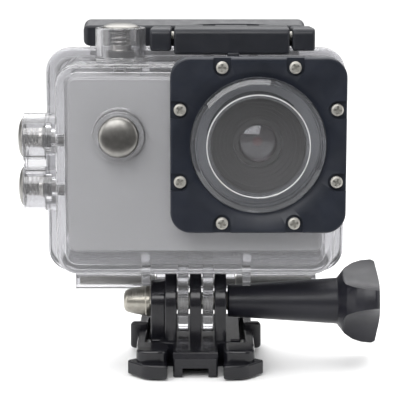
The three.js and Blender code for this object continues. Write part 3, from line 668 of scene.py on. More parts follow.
def knuckle(x0, x1, wall_front, wall_back):
    """A hinge barrel and the web that joins it to the wall above."""
    low, _ = node_box("back_door")
    radius = HINGE_PIN.z - low.z
    barrel = rod("knuckle", "x", radius, x0, x1, HINGE_PIN.y, HINGE_PIN.z, 48, 0.2)
    web_outline = rect(wall_front, wall_back, HINGE_PIN.z, RIM_BOTTOM + 1, 0)
    web = slab("web", web_outline, "x", x0 + 0.01, x1 - 0.01, (0, 0), 1)
    return union(barrel, web)


def screw_places():
    """The eight screws of the lens frame, by node name."""
    return {f"frame_screw_{k}": middle(f"frame_screw_{k}") for k in range(1, 9)}


def case_front():
    body = case_shell()
    union(body, *[guard_tube(button) for button in BUTTONS.values()])
    cut(body, slab("hollow", INSIDE, "y", INNER_FRONT, RIM_BACK + 1, (0.25, 0), 10))
    prongs = [
        prong(side * PRONG_STEP, 2.6, PRONG_R, SHELL_BOTTOM + 0.6, PIVOT.z - PRONG_R) for side in (-1, 1)
    ]
    hinge = knuckle(-HINGE_HALF, HINGE_HALF, RIM_FRONT, RIM_BACK)
    union(body, *prongs, *lever_lugs(), hinge, *rest_ribs(), *rim_ribs())
    for button in BUTTONS.values():
        cut(body, *guard_bores(button))
    before, screw_depth, opening_r = SHELL_FRONT - 1, 1.8, 14.2
    screws = [
        rod("hole", "y", SCREW_BORE, before, SHELL_FRONT + screw_depth, spot.x, spot.z)
        for spot in screw_places().values()
    ]
    cut(
        body,
        *screws,
        rod("opening", "y", opening_r, before, INNER_FRONT + 1, LENS.x, LENS.z, 96),
        rod_bore(-6, 6),
        rod("lug_hole", "x", LATCH_BORE, 0, 17, LEVER_PIN.y, LEVER_PIN.z),
        rod("hinge_hole", "x", HINGE_BORE, -12, 12, HINGE_PIN.y, HINGE_PIN.z),
    )
    return stands_for(body, "housing_front")


def case_door():
    """The back door, with the lip that the claw hooks, its hinge knuckles and its seal groove."""
    plate_outline = shrunk(RIM, GAP)
    body = slab("case_door", plate_outline, "y", DOOR_FRONT, DOOR_BACK, (0.3, 0.9), 14)
    lip_corners = [
        (DOOR_FRONT, RIM_TOP - 2, 0),
        (DOOR_FRONT + 3.5, RIM_TOP - 2, 0.2),
        (DOOR_FRONT + 4, RIM_TOP, 0.3),
        (DOOR_FRONT + 1.5, LIP_TOP, 0.4),
        (DOOR_FRONT, LIP_TOP, 0.2),
    ]
    lip = slab("lip", lip_corners, "x", -25.5, 25, (0.2, 0.2), 5)
    knuckles = [
        knuckle(HINGE_HALF + GAP, HINGE_END, DOOR_FRONT, DOOR_BACK - 0.6),
        knuckle(-HINGE_END, -HINGE_HALF - GAP, DOOR_FRONT, DOOR_BACK - 0.6),
    ]
    union(body, lip, *knuckles)
    groove_section = [
        (2, DOOR_FRONT - 1),
        (2, DOOR_FRONT + 1),
        (3.4, DOOR_FRONT + 1),
        (3.4, DOOR_FRONT - 1),
    ]
    groove = moulding("groove", RIM, groove_section, "y", 14)
    window = slab("window", rect(-24, 24, 30, 66, 2), "y", DOOR_BACK - 0.6, DOOR_BACK + 1, (0.3, 0), 8)
    bore = rod("bore", "x", HINGE_BORE, -HINGE_END - 1, HINGE_END + 1, HINGE_PIN.y, HINGE_PIN.z)
    cut(body, groove, window, bore)
    return stands_for(body, "back_door")


def door_seal():
    """A soft ring with a rounded section, in the door's groove."""
    low, high = node_box("door_gasket")
    half_width, half_depth = 0.58, (high.y - low.y) / 2
    centre = (low.y + high.y) / 2
    section = oval((2.7, centre), (half_width, half_depth), 16)
    return stands_for(moulding("door_seal", RIM, section, "y", 14), "door_gasket")


# ---------------------------------------------------------------- lens port and its frame

PORT_R = 15.3
FLANGE_R = 16.6  # the foot that the port stands on
FLANGE_FRONT, FLANGE_BACK = -16.2, -15.1
PORT_RIM = node_box("lens_port")[0].y
WINDOW_R = 11.7


def lens_port():
    back = node_box("lens_port")[1].y
    inner, ledge_r = PORT_R - 1.1, 10.9
    ledge_back, ledge_front = -17.9, -18.6
    profile = [
        (inner, back, 0),
        (inner, ledge_back, 0.3),
        (ledge_r, ledge_back, 0.1),
        (ledge_r, ledge_front, 0.08),
        (WINDOW_R, ledge_front, 0.05),
        (WINDOW_R, PORT_RIM, 0.3),
        (PORT_R - 1.2, PORT_RIM, 0.3),
        (PORT_R, PORT_RIM + 0.6, 0.3),
        (PORT_R, FLANGE_FRONT, 0.1),
        (FLANGE_R, FLANGE_FRONT, 0.1),
        (FLANGE_R, FLANGE_BACK, 0.1),
        (PORT_R, FLANGE_BACK, 0.1),
        (PORT_R, back, 0),
    ]
    return stands_for(about_lens("port_ring", profile), "lens_port")


def port_window():
    low, high = node_box("port_window")
    radius = (high.x - low.x) / 2
    made = rod("port_pane", "y", radius, low.y, high.y, LENS.x, LENS.z, 128, 0.12)
    return stands_for(made, "port_window")


def pane_bond():
    """The pale bead of glue round the window's edge."""
    profile = [
        (WINDOW_R - 0.12, PORT_RIM, 0.04),
        (WINDOW_R + 0.14, PORT_RIM, 0.1),
        (WINDOW_R + 0.14, PORT_RIM + 0.3, 0),
        (WINDOW_R - 0.12, PORT_RIM + 0.3, 0),
    ]
    extra(about_lens("pane_bond", profile), "housing", "seal_silicone")


def port_gasket():
    low, high = node_box("port_gasket")
    profile = [(PORT_R + 0.15, low.y), (FLANGE_R, low.y), (FLANGE_R, high.y), (PORT_R + 0.15, high.y)]
    made = about_lens("port_seal", [(*point, 0.12) for point in profile], 96)
    return stands_for(made, "port_gasket")


def screw_pocket(spot, front):
    """A round pocket round a screw, open to the nearest edge of the frame."""
    floor, half, reach = front + 1, 2.0, FRAME_HALF + 1
    dx, dz = spot.x - LENS.x, spot.z - LENS.z
    if abs(dx) > abs(dz):
        edge = LENS.x + math.copysign(reach, dx)
        corners = rect(min(spot.x, edge), max(spot.x, edge), spot.z - half, spot.z + half, 0)
    else:
        edge = LENS.z + math.copysign(reach, dz)
        corners = rect(spot.x - half, spot.x + half, min(spot.z, edge), max(spot.z, edge), 0)
    slot = slab("slot", corners, "y", front - 1, floor, (0, 0), 1)
    return union(rod("round", "y", half, front - 1, floor + 0.01, spot.x, spot.z, 40), slot)


def port_frame():
    """The black square frame, with its dished front and eight screw pockets."""
    low, high = node_box("port_frame")
    corners = rect(low.x, high.x, low.z, high.z, 4.6)
    body = slab("lens_frame", corners, "y", low.y, high.y, (0.45, 0.3), 14)
    dish_r, floor = 19.3, low.y + 1.6
    dish = [
        (0, low.y - 1, 0),
        (dish_r + 3.7, low.y - 1, 0),
        (dish_r, low.y, 0),
        (PORT_R + 0.4, floor, 0.4),
        (0, floor, 0),
    ]
    cut(
        body,
        about_lens("dish", dish),
        rod("hole", "y", PORT_R + GAP, low.y - 1, high.y + 1, LENS.x, LENS.z, 128),
        rod("seat", "y", FLANGE_R + GAP, FLANGE_FRONT - GAP, high.y + 1, LENS.x, LENS.z, 128),
    )
    spots = screw_places().values()
    cut(body, *[screw_pocket(spot, low.y) for spot in spots])
    cut(body, *[rod("hole", "y", SCREW_BORE, low.y, high.y + 1, spot.x, spot.z) for spot in spots])
    return stands_for(body, "port_frame")


def frame_screw(node, spot, turn):
    """Pan-head screw with a cross recess and a threaded shank."""
    low, high = node_box(node)
    neck, pitch = low.y + 1.0, 0.35
    head_r, core_r, thread_r = 1.4, 0.62, 0.8
    profile = [
        (0, low.y, 0),
        (1.0, low.y, 0.3),
        (head_r, low.y + 0.3, 0.15),
        (head_r, neck, 0.08),
        (0.78, neck, 0),
    ]
    station = neck + 0.3
    while station < high.y - 0.4:
        profile += [(core_r, station, 0), (thread_r, station + pitch / 2, 0)]
        station += pitch
    profile += [(0.5, high.y, 0), (0, high.y, 0)]
    made = lathe(f"{node}_fine", profile, "y", 0, 0, 40, 3)
    slots = []
    for angle in (turn, turn + math.pi / 2):
        tool = slab("slot", rect(-0.9, 0.9, -0.2, 0.2, 0.05), "y", low.y - 1, low.y + 0.6, (0, 0.1), 2)
        tool.data.transform(Matrix.Rotation(angle, 4, "Y"))
        slots.append(tool)
    cut(made, union(*slots))
    made.data.transform(Matrix.Translation(Vector((spot.x, 0, spot.z)) * MM))
    return stands_for(made, node)


def frame_screws():
    for k, (node, spot) in enumerate(screw_places().items()):
        frame_screw(node, spot, 0.65 * k + 0.3)


# ---------------------------------------------------------------- latch

def latch_lever():
    """The lever: rounded at its tail, with slots for the case's lugs and a small tab under its front."""
    low, high = node_box("latch_lever")
    tail = high.z - LEVER_PIN.z
    bottom, front = LEVER_PIN.z - tail, low.y + 0.5
    corners = [
        (front, bottom, 0.7),
        (LEVER_PIN.y + tail, bottom, tail),
        (LEVER_PIN.y + tail, high.z, tail),
        (front, high.z, 1.5),
    ]
    body = slab("lever", corners, "x", low.x, high.x, (0.65, 0.65), 14)
    tab = slab("tab", rect(low.y, low.y + 2, low.z, bottom + 0.5, 0.35), "x", 7.4, 10.2, (0.3, 0.3), 4)
    union(body, tab)
    slots = [
        slab("slot", rect(LEVER_PIN.y - 2.6, 10, 70, 82, 0.2), "x", x0 - GAP, x1 + GAP, (0, 0), 3)
        for x0, x1 in LUG_SPANS
    ]
    cut(
        body,
        *slots,
        rod("bore", "x", LATCH_BORE, low.x - 1, high.x + 1, CLAW_PIN.y, CLAW_PIN.z),
        rod("bore", "x", LATCH_BORE, 0, 17, LEVER_PIN.y, LEVER_PIN.z),
    )
    return stands_for(body, "latch_lever")


def latch_claw():
    """The claw: a bar with a finger scoop, on two arms beside the lever."""
    low, high = node_box("latch_claw")
    lever_low, lever_high = node_box("latch_lever")
    bar_right, arm_gap = 26.4, 0.6
    bar_corners = [
        (9, 74.65, 0.3),
        (high.y, low.z, 0.9),
        (high.y, high.z, 1.6),
        (14, high.z, 2),
        (9, 79.5, 0.7),
    ]
    body = slab("claw", bar_corners, "x", low.x, bar_right, (1.6, 1.6), 8)
    under_lip = [(10.2, 72, 0), (17.6, 72, 0), (17.6, 73.6, 0), (12.1, 75.4, 0.3), (10.2, 75.4, 0.3)]
    scoop_r, scoop_depth = 52, 1.5
    cut(
        body,
        slab("under_lip", under_lip, "x", low.x - 1, bar_right + 1, (0, 0), 4),
        rod("scoop", "z", scoop_r, 78.6, 82, 8.45, 9 + scoop_depth - scoop_r, 256),
    )
    arm_corners = [(low.y, 74.5, 0.6), (10.1, 74.7, 0.1), (10.1, 79.3, 0.1), (low.y, 79.9, 1.5)]
    arms = [
        slab("arm", arm_corners, "x", -10.6, lever_low.x - arm_gap, (0.7, 0.7), 8),
        slab("arm", arm_corners, "x", lever_high.x + arm_gap, high.x, (0.7, 0.7), 8),
    ]
    union(body, *arms)
    cut(body, rod("bore", "x", LATCH_BORE, -9.4, 26.6, CLAW_PIN.y, CLAW_PIN.z))
    return stands_for(body, "latch_claw")


# ---------------------------------------------------------------- buttons

CAP = {
    "shutter": {"edge": 7.0, "hollow": 7.5, "seat": 3.4, "base_r": 3.5, "base": 2.0, "collar_r": 2.5},
    "power": {"edge": 1.8, "hollow": 2.9, "seat": 0.1},
    "up": {"edge": 5.2, "hollow": 5.8, "seat": 1.9, "base_r": 2.9, "base": 0.9, "collar_r": 2.4},
    "down": {"edge": 5.2, "hollow": 5.8, "seat": 1.9, "base_r": 2.9, "base": 0.9, "collar_r": 2.4},
}
SPRING_R, SPRING_WIRE = 2.15, 0.45


def plunger(name, button):
    """A stem with a domed cap that is hollow underneath."""
    out, floor, crown = button["out"], button["floor"], button["crown"]
    cap, radius = CAP[name], button["cap_r"]
    edge, hollow = floor + out * cap["edge"], floor + out * cap["hollow"]
    rim = crown - out * min(abs(crown - edge) - 0.25, 1.5)
    profile = [
        (0, button["tip"], 0),
        (STEM_R, button["tip"], 0.2),
        (STEM_R, hollow, 0.15),
        (3.2, hollow, 0.2),
        (3.2, edge, 0.1),
        (radius, edge, 0.15),
        *crown_arc(radius, rim, crown),
    ]
    return stands_for(about_button(f"{name}_button", profile, button, 96), f"{name}_plunger")


def crown_arc(radius, rim, crown, steps=14):
    """Corners of a pressed crown: tight at the rim and flatter towards the top."""
    points = []
    for step in range(steps + 1):
        angle = math.pi / 2 * step / steps
        points.append((radius * math.cos(angle) ** 0.8, rim + (crown - rim) * math.sin(angle), 0))
    return points


def button_spring(name, button):
    out, floor, cap = button["out"], button["floor"], CAP[name]
    near, far = floor + out * (cap["seat"] + 0.1), floor + out * (cap["hollow"] - 0.1)
    turns = 3 if name == "power" else 4
    span = sorted((near, far))
    made = coil(
        f"{name}_coil", button["axis"], SPRING_R, SPRING_WIRE, *span, turns, *button["across"]
    )
    stands_for(made, f"{name}_spring")
    k = "xyz".index(button["axis"])
    axis, anchor = [0, 0, 0], [v * MM for v in middle(f"{name}_plunger")]
    axis[k], anchor[k] = 1, near * MM
    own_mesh(made)


def o_ring(name, button):
    centre = button["floor"] - button["out"] * 0.6
    section = [(*point, 0) for point in oval((1.9, centre), (0.47, 0.47), 14)]
    return stands_for(about_button(f"{name}_ring", section, button, 48, 1), f"{name}_o_ring")


def gland(name, button):
    """The dark seat under a spring, and the steel collar that stands on it."""
    out, floor, cap = button["out"], button["floor"], CAP[name]
    foot, base, seat = (floor + out * level for level in (0.1, cap["base"], cap["seat"]))
    seat_profile = [
        (STEM_BORE, foot, 0),
        (cap["base_r"], foot, 0.15),
        (cap["base_r"] - 0.2, base, 0.2),
        (STEM_BORE, base, 0),
    ]
    collar_profile = [
        (STEM_BORE, base, 0),
        (cap["collar_r"] + 0.2, base, 0.05),
        (cap["collar_r"], base + out * 0.3, 0.1),
        (cap["collar_r"], seat, 0.12),
        (STEM_BORE, seat, 0.1),
    ]
    stands_for(about_button(f"{name}_seat", seat_profile, button), f"{name}_bush")
    extra(about_button(f"{name}_collar", collar_profile, button), "housing", "spring_steel")


def camera_key(name, button):
    """The camera's own button behind a plunger."""
    low, high = node_box(f"{name}_key")
    k = "xyz".index(button["axis"])
    out = button["out"]
    outer, inner = (high[k], low[k]) if out > 0 else (low[k], high[k])
    cross = (k + 1) % 3
    flange = (high[cross] - low[cross]) / 2
    radius, step = flange - 0.9, inner + out * 0.8
    profile = [
        (0, inner, 0),
        (flange, inner, 0.1),
        (flange, step, 0.1),
        (radius, step, 0),
        (radius, outer, 0.3),
        (radius * 0.6, outer, 0),
        (radius * 0.5, outer - out * 0.12, 0),
        (0, outer - out * 0.12, 0),
    ]
    return stands_for(about_button(f"{name}_key_fine", profile, button), f"{name}_key")


def all_buttons():
    for name, button in BUTTONS.items():
        plunger(name, button)
        button_spring(name, button)
        o_ring(name, button)
        camera_key(name, button)
        if "base" in CAP[name]:
            gland(name, button)


# ---------------------------------------------------------------- camera

SPLIT_FRONT = node_box("camera_front_shell")[1].y
SPLIT_BACK = node_box("camera_rear_shell")[0].y
CAMERA_WALL = 1.3
BARREL_R = 11.6
KEY_HOLE_R, SIDE_KEY_HOLE_R = 4.2, 3.3


def camera_outline():
    return rect(CAMERA_LOW.x, CAMERA_HIGH.x, CAMERA_LOW.z, CAMERA_HIGH.z, 1.8)


def battery_opening():
    low, high = node_box("battery_door")
    corners = rect(low.x - GAP, high.x + GAP, low.y - GAP, high.y + GAP, 0.3)
    return slab("opening", corners, "z", low.z - 1, high.z + 0.1, (0, 0), 3)


def camera_front():
    """The front shell: a face plate that stands a little proud of the sides."""
    step = CAMERA_LOW.y + 0.8
    body = slab("camera_face", camera_outline(), "y", step, SPLIT_FRONT, (0.4, 0.15), 12)
    union(body, slab("plate", shrunk(camera_outline(), 0.45), "y", CAMERA_LOW.y, step + 1, (0.2, 0), 12))
    hollow_outline = shrunk(camera_outline(), CAMERA_WALL)
    hollow = slab("hollow", hollow_outline, "y", CAMERA_LOW.y + CAMERA_WALL, SPLIT_FRONT + 1, (0.5, 0), 8)
    cut(
        body,
        hollow,
        rod("lens_hole", "y", BARREL_R + GAP, CAMERA_LOW.y - 1, -5, LENS.x, LENS.z, 128),
        rod("key_hole", "y", KEY_HOLE_R, CAMERA_LOW.y - 1, -9, POWER.x, POWER.z, 64),
        battery_opening(),
    )
    return stands_for(body, "camera_front_shell")


def camera_rear():
    body = slab("camera_back", camera_outline(), "y", SPLIT_BACK, CAMERA_HIGH.y, (0.15, 1.0), 12)
    hollow_outline = shrunk(camera_outline(), CAMERA_WALL)
    hollow = slab("hollow", hollow_outline, "y", SPLIT_BACK - 1, CAMERA_HIGH.y - CAMERA_WALL, (0, 0.5), 8)
    side, roof = CAMERA_LOW.x, CAMERA_HIGH.z
    keys = [
        rod("key_hole", "x", SIDE_KEY_HOLE_R, side - 1, side + 3, *BUTTONS[name]["across"], 48)
        for name in ("up", "down")
    ]
    socket_edge = CAMERA_HIGH.x
    screen = slab("screen", rect(-20.5, 20.5, 34, 64, 1), "y", CAMERA_HIGH.y - 3, CAMERA_HIGH.y + 1)
    cut(
        body,
        hollow,
        *keys,
        rod("key_hole", "z", KEY_HOLE_R, roof - 3, roof + 1, SHUTTER.x, SHUTTER.y, 64),
        slab("sockets", rect(-0.2, 6.2, 44.8, 61.2, 0.6), "x", socket_edge - 2, socket_edge + 1),
        screen,
        battery_opening(),
    )
    return stands_for(body, "camera_rear_shell")


def lens_barrel():
    """The barrel: a stepped cone inside, down to the front lens."""
    front, back = node_box("lens_barrel")[0].y, node_box("lens_barrel")[1].y
    tail_r, tail_front = 8, -9.4
    bore_r, cup_r, cup_floor = 4.2, 5.7, -9
    mouth_r = 10.6
    profile = [
        (BARREL_R, tail_front, 0),
        (tail_r, tail_front, 0),
        (tail_r, back, 0),
        (bore_r, back, 0),
        (bore_r, cup_floor, 0.1),
        (cup_r, cup_floor, 0),
        (cup_r, -13.2, 0.1),
    ]
    steps, cone_from, cone_to = 5, (6.1, -13.25), (mouth_r, front + 0.35)
    for k in range(steps):
        share, following = k / steps, (k + 1) / steps
        near = [cone_from[j] + (cone_to[j] - cone_from[j]) * share for j in range(2)]
        far = [cone_from[j] + (cone_to[j] - cone_from[j]) * following for j in range(2)]
        profile += [(near[0], near[1], 0.05), (far[0] - 0.12, far[1], 0.05)]
    profile += [(mouth_r, front, 0.1), (BARREL_R, front, 0.25)]
    return stands_for(about_lens("barrel", profile[::-1]), "lens_barrel")


def front_element():
    low, high = node_box("lens_front_element")
    radius = (high.x - low.x) / 2
    crown = [(r, 2 * low.y - s, 0) for r, s, _ in dome(radius - 0.05, 1.8, low.y, 16)]
    profile = [(0, high.y, 0), (radius, high.y, 0.1), *crown]
    return stands_for(about_lens("front_lens", profile, 96, 2), "lens_front_element")


def lens_rings():
    """The ring that holds the front lens, and the dark iris and tinted filter behind it."""
    holder = [(4.3, -13.6, 0.15), (5.6, -13.6, 0.1), (5.6, -13.3, 0), (4.5, -13.3, 0)]
    extra(about_lens("lens_holder", holder, 96), "housing", "barrel_dark")
    opening = 0.95
    iris = [(opening, -10.4, 0), (4.9, -10.8, 0), (5.2, -10.4, 0), (5.2, -9.5, 0), (opening, -9.5, 0)]
    extra(about_lens("iris", iris, 64), "housing", "barrel_dark")
    pupil = rod("pupil", "y", opening - 0.05, -10.3, -9.6, LENS.x, LENS.z, 48, 0.2)
    extra(pupil, "housing", "filter_glass")


def screen():
    """The display: a glass panel with a slightly sunk picture area."""
    low, high = node_box("lcd_panel")
    corners = rect(low.x, high.x, low.z, high.z, 0.8)
    body = slab("screen_panel", corners, "y", low.y, high.y, (0.1, 0.3), 6)
    margin = 2.4
    area = rect(low.x + margin, high.x - margin, low.z + margin + 1, high.z - margin, 0.3)
    cut(body, slab("area", area, "y", high.y - 0.12, high.y + 1, (0, 0), 3))
    return stands_for(body, "lcd_panel")


def socket_shell(node, lip):
    """A connector: a folded metal shell with its tongue inside."""
    low, high = node_box(node)
    corners = rect(low.y, high.y, low.z, high.z, 0.5)
    body = slab(f"{node}_fine", corners, "x", low.x, high.x, (0.1, 0.15), 5)
    cut(body, slab("mouth", shrunk(corners, lip), "x", low.x + 0.8, high.x + 1, (0, 0), 5))
    stands_for(body, node)
    centre = (low + high) / 2
    tongue_outline = rect(centre.y - 0.35, centre.y + 0.35, low.z + 1.2, high.z - 1.2, 0.1)
    tongue = slab(f"{node}_tongue", tongue_outline, "x", low.x + 0.85, high.x - 0.8, (0, 0.1), 3)
    extra(tongue, "housing", "card_black")


def rounded_box(node, radius, rim):
    """A plain block in place of a box-shaped node, with softened edges."""
    low, high = node_box(node)
    corners = rect(low.x, high.x, low.z, high.z, radius)
    made = slab(f"{node}_fine", corners, "y", low.y, high.y, (rim, rim), 5)
    return stands_for(made, node)


def battery():
    """The cell, with three plated contacts on its top edge."""
    rounded_box("battery", 1.2, 0.8)
    low, high = node_box("battery")
    for k in range(3):
        x = low.x + 4 + 3.2 * k
        name, corners = f"battery_contact_{k + 1}", rect(x, x + 2, -5, 0.5, 0.2)
        contact = slab(name, corners, "z", high.z - 0.05, high.z + 0.1, (0, 0.04), 3)
        extra(contact, "housing", "nut_nickel")


def main_board():
    """The circuit board with its chips."""
    rounded_box("main_board", 1, 0.05)
    face = node_box("main_board")[0].y
    chips = ((-22, -12, 52, 62), (-8, 2, 50, 60), (-20, -14, 38, 46), (-9, -1, 36, 43), (5, 9, 47, 53))
    for k, (x0, x1, z0, z1) in enumerate(chips):
        corners = rect(x0, x1, z0, z1, 0.2)
        chip = slab(f"chip_{k + 1}", corners, "y", face - 0.9, face + 0.02, (0.1, 0), 3)
        extra(chip, "housing", "card_black")


def battery_cover():
    """The door over the battery, with a thumb groove."""
    low, high = node_box("battery_door")
    corners = rect(low.x, high.x, low.y, high.y, 0.6)
    body = slab("battery_cover", corners, "z", low.z, high.z, (0.2, 0.05), 5)
    grooves = [
        slab("groove", rect(x, x + 0.5, low.y + 2, high.y - 2, 0.2), "z", low.z - 1, low.z + 0.25)
        for x in (-24, -22.9, -21.8)
    ]
    cut(body, *grooves)
    return stands_for(body, "battery_door")


def camera_inside():
    front_element()
    lens_rings()
    pin("lens_rear_element", "y", 0.3)
    pin("speaker", "y", 0.4)
    rounded_box("image_sensor", 0.3, 0.1)
    rounded_box("sensor_board", 0.8, 0.05)
    rounded_box("memory_card", 0.8, 0.1)
    battery()
    main_board()
    battery_cover()
    screen()
    socket_shell("usb_socket", 0.35)
    socket_shell("hdmi_socket", 0.4)


# ---------------------------------------------------------------- buckle

def buckle_outline():
    right = [
        (5.2, -18.5, 0.5),
        (5.2, -8.8, 0.4),
        (PRONG_R + 1, -7.8, 0.4),
        (PRONG_R + 1, -5.6, 0.2),
        (10.7, -5.6, 0.4),
        (10.7, 17.4, 0.4),
        (13.8, 17.4, 0.5),
        (13.8, 21.5, 0.8),
    ]
    return right + [(-x, y, radius) for x, y, radius in reversed(right)]


def buckle_base():
    """The slide-in base: a platform, three prongs and the lug that holds the nut."""
    platform_top = 5.8
    body = slab("buckle", buckle_outline(), "z", 0, platform_top, (0.25, 0.4), 5)
    prong_top = PIVOT.z + PRONG_R
    prongs = [prong(step * PRONG_STEP, 2.8, PRONG_R, 1, prong_top) for step in (-2, 0, 2)]
    lug_outer, lug_inner, lug_r = -10.7, -7.2, 5.1
    lug = prong((lug_outer + lug_inner) / 2, lug_inner - lug_outer, lug_r, 1, PIVOT.z + lug_r, 0.4)
    union(body, *prongs, lug)
    nose = [(-19, 3.7, 0), (-17.3, platform_top + 0.01, 0.2), (-19, platform_top + 0.01, 0)]
    cut(
        body,
        rod_bore(-12, 12),
        slab("nut_pocket", hexagon(4.15), "x", lug_outer - 1, -8.3, (0, 0), 3),
        slab("notch", rect(-19, -12, -1, 2.1, 0.3), "x", -3, 3, (0, 0), 4),
        slab("nose", nose, "x", -7, 7, (0, 0), 3),
    )
    return stands_for(body, "buckle_base")


def mirrored(corners, side):
    if side > 0:
        return corners
    return [(-x, y, radius) for x, y, radius in reversed(corners)]


def clip_arm(node, side):
    """A spring arm with the block that snaps into the base, and the pad that the thumb pinches."""
    pad = [(6.5, -14, 0), (6.5, -21.6, 0.6), (11.5, -21.2, 4), (16, -15.8, 0.6), (13.8, -14, 0.2)]
    block = rect(6.5, 13.8, -18.4, -9.4, 2.4)
    bar = rect(11.8, 13.8, -12.5, 17.1, 0.8)
    wing = [(3, 1.4, 0.5), (15, 1.4, 0.4), (15, 3.6, 0.8), (5, 7.8, 1.2), (3, 7.9, 0.6)]
    wing_span = (11.8, 15.9) if side > 0 else (-15.9, -11.8)
    wing_rims = (0.2, 1.1) if side > 0 else (1.1, 0.2)
    body = slab(f"{node}_fine", mirrored(block, side), "z", 0.5, 6.2, (0.4, 0.7), 8)
    union(
        body,
        slab("pad", mirrored(pad, side), "z", 0.2, 3.5, (0.4, 0.5), 8),
        slab("bar", mirrored(bar, side), "z", 1, 6.2, (0.3, 0.4), 6),
        slab("wing", wing, "x", *wing_span, wing_rims, 6),
    )
    return stands_for(body, node)


def clamp_nut():
    """Acorn nut: a hexagon in the lug's pocket and a tapered, rounded cap."""
    low, high = node_box("clamp_nut")
    cap_base, hex_to = -11.0, -11.1
    profile = [(0, low.x, 0), (2.5, low.x, 1.5), (3.1, -15, 2), (3.6, -12, 0.5), (3.8, -11.8, 0.1)]
    profile += [(3.8, cap_base, 0.05), (0, cap_base, 0)]
    body = slab("acorn_nut", hexagon(3.85), "x", hex_to, high.x, (0.1, 0.25), 3)
    union(body, about_screw("cap", profile, 96, 6))
    cut(body, rod_bore(-15.2, high.x + 1))
    return stands_for(body, "clamp_nut")


def screw_rod():
    """The steel rod, threaded along its length."""
    low, high = node_box("screw_rod")
    pitch, depth = 0.8, 0.28
    profile = [(0, low.x, 0), (ROD_R - 0.5, low.x, 0.1)]
    station = low.x + 0.4
    while station + pitch < high.x - 1:
        profile += [(ROD_R - depth, station, 0.05), (ROD_R, station + pitch / 2, 0.08)]
        station += pitch
    profile += [(ROD_R, high.x, 0.1), (0, high.x, 0)]
    return stands_for(about_screw("clamp_rod", profile, 56, 2), "screw_rod")


def thumb_knob():
    """A long tapered handle and a three-lobed head, with one lobe to the front and a little up."""
    low, high = node_box("thumb_knob")
    neck, neck_r, root_r = 34.0, 5.6, 3.85
    handle = [
        (0, low.x, 0),
        (root_r, low.x, 0.4),
        (root_r + 0.15, low.x + 3, 4),
        (neck_r - 0.1, neck - 0.8, 1),
        (neck_r, neck, 0.3),
        (0, neck, 0),
    ]
    bell = [
        (0, neck - 0.3, 0),
        (neck_r - 0.1, neck - 0.3, 0.2),
        (neck_r, neck, 0.3),
        (7.9, neck + 1.8, 2),
        (9.4, neck + 3.8, 4),
        (10.3, neck + 6, 5),
        (10.7, high.x - 1.5, 1),
        (10.2, high.x - 0.6, 0.7),
        (5, high.x, 6),
        (0, high.x, 0),
    ]
    head = about_screw("head", bell, 144)
    away, start_r, end_r = 26.8, 20.5, 21.5
    scallops = []
    for turn in range(3):
        angle = math.radians(120 * turn - 14)
        y, z = away * math.cos(angle), PIVOT.z + away * math.sin(angle)
        cone = [(0, neck + 1, 0), (start_r, neck + 1, 1), (end_r, high.x + 1, 0), (0, high.x + 1, 0)]
        scallops.append(lathe("scallop", cone, "x", y, z, 240, 8))
    cut(head, *scallops)
    body = about_screw("thumb_handle", handle, 96)
    union(body, head)
    cut(body, rod_bore(low.x - 1, low.x + 14, SLIP))
    return stands_for(body, "thumb_knob")


# ---------------------------------------------------------------- stage

def sheet(name, x0, x1, y0, y1, z, dark, light):
    """A flat sheet of the studio, in millimetres, between two greys."""
    mesh = bpy.data.meshes.new(name)
    corners = [Vector(point) * MM for point in ((x0, y0, z), (x1, y0, z), (x1, y1, z), (x0, y1, z))]
    mesh.from_pydata(corners, [], [(0, 1, 2, 3)])
    made = bpy.data.objects.new(name, mesh)
    bpy.context.collection.objects.link(made)
    paint = Paint(name, Roughness=0.7)
    paint.tint(paint.noise(200, 2), grey(dark), grey(light))
    made.data.materials.append(paint.material)
    return made


def studio_floor():
    """A pale floor, and a black card in front that only reflections see: it keeps glare off the glass."""
    sheet("floor", -3000, 3000, -3000, 3000, -0.2, 0.88, 0.92)
    card = sheet("black_card", -900, 900, -1800, -75, 1, 0.01, 0.02)
    card.visible_camera = False
    card.visible_diffuse = False
    card.visible_transmission = False
    card.visible_shadow = False


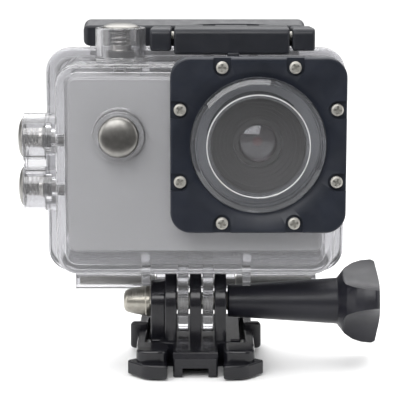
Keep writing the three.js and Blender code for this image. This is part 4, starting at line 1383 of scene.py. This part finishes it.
def softbox(name, place_mm, aim_mm, width_mm, height_mm, watts):
    data = bpy.data.lights.new(name, "AREA")
    data.shape = "RECTANGLE"
    data.size, data.size_y = width_mm * MM, height_mm * MM
    data.energy = watts
    lamp = bpy.data.objects.new(name, data)
    bpy.context.collection.objects.link(lamp)
    lamp.location = Vector(place_mm) * MM
    lamp.rotation_euler = (Vector(aim_mm) - Vector(place_mm)).to_track_quat("-Z", "Y").to_euler()


def studio():
    world = bpy.data.worlds.new("studio")
    world.use_nodes = True
    world.node_tree.nodes["Background"].inputs["Color"].default_value = (1, 1, 1, 1)
    world.node_tree.nodes["Background"].inputs["Strength"].default_value = 0.3
    bpy.context.scene.world = world
    bpy.context.scene.view_settings.view_transform = "Standard"
    aim = (0, 0, 45)
    softbox("top", (0, 90, 520), (0, 20, 40), 700, 500, 3.2)
    softbox("left", (-480, -160, 220), aim, 300, 420, 0.9)
    softbox("right", (480, -120, 200), aim, 240, 420, 0.7)
    softbox("front", (-150, -480, 430), aim, 560, 360, 3.3)
    softbox("back", (0, 1500, 1300), (0, 1300, 0), 3000, 2200, 42)


def camera():
    """The camera stands in front, a little above, and looks down at the case."""
    data = bpy.data.cameras.new("camera")
    data.lens, data.sensor_width = 157.5, 36.0
    data.clip_start, data.clip_end = 0.01, 20
    made = bpy.data.objects.new("camera", data)
    bpy.context.collection.objects.link(made)
    aim = Vector((1.05, CAMERA_LOW.y, 40.5)) * MM
    pitch = math.radians(9.5)
    distance = 0.406
    made.location = aim + distance * Vector((0, -math.cos(pitch), math.sin(pitch)))
    made.rotation_euler = (math.pi / 2 - pitch, 0, 0)
    bpy.context.scene.camera = made


def build_case():
    case_front()
    case_door()
    door_seal()
    lens_port()
    port_window()
    pane_bond()
    port_gasket()
    port_frame()
    frame_screws()
    pin("lever_pivot_pin", "x")
    pin("door_hinge_pin", "x")
    latch_lever()
    latch_claw()
    pin("claw_pin", "x")
    all_buttons()


def build_camera():
    camera_front()
    camera_rear()
    lens_barrel()
    camera_inside()


def build_buckle():
    buckle_base()
    clip_arm("clip_arm_left", -1)
    clip_arm("clip_arm_right", 1)
    clamp_nut()
    screw_rod()
    thumb_knob()


camera()
build_case()
build_camera()
build_buckle()
studio_floor()
studio()
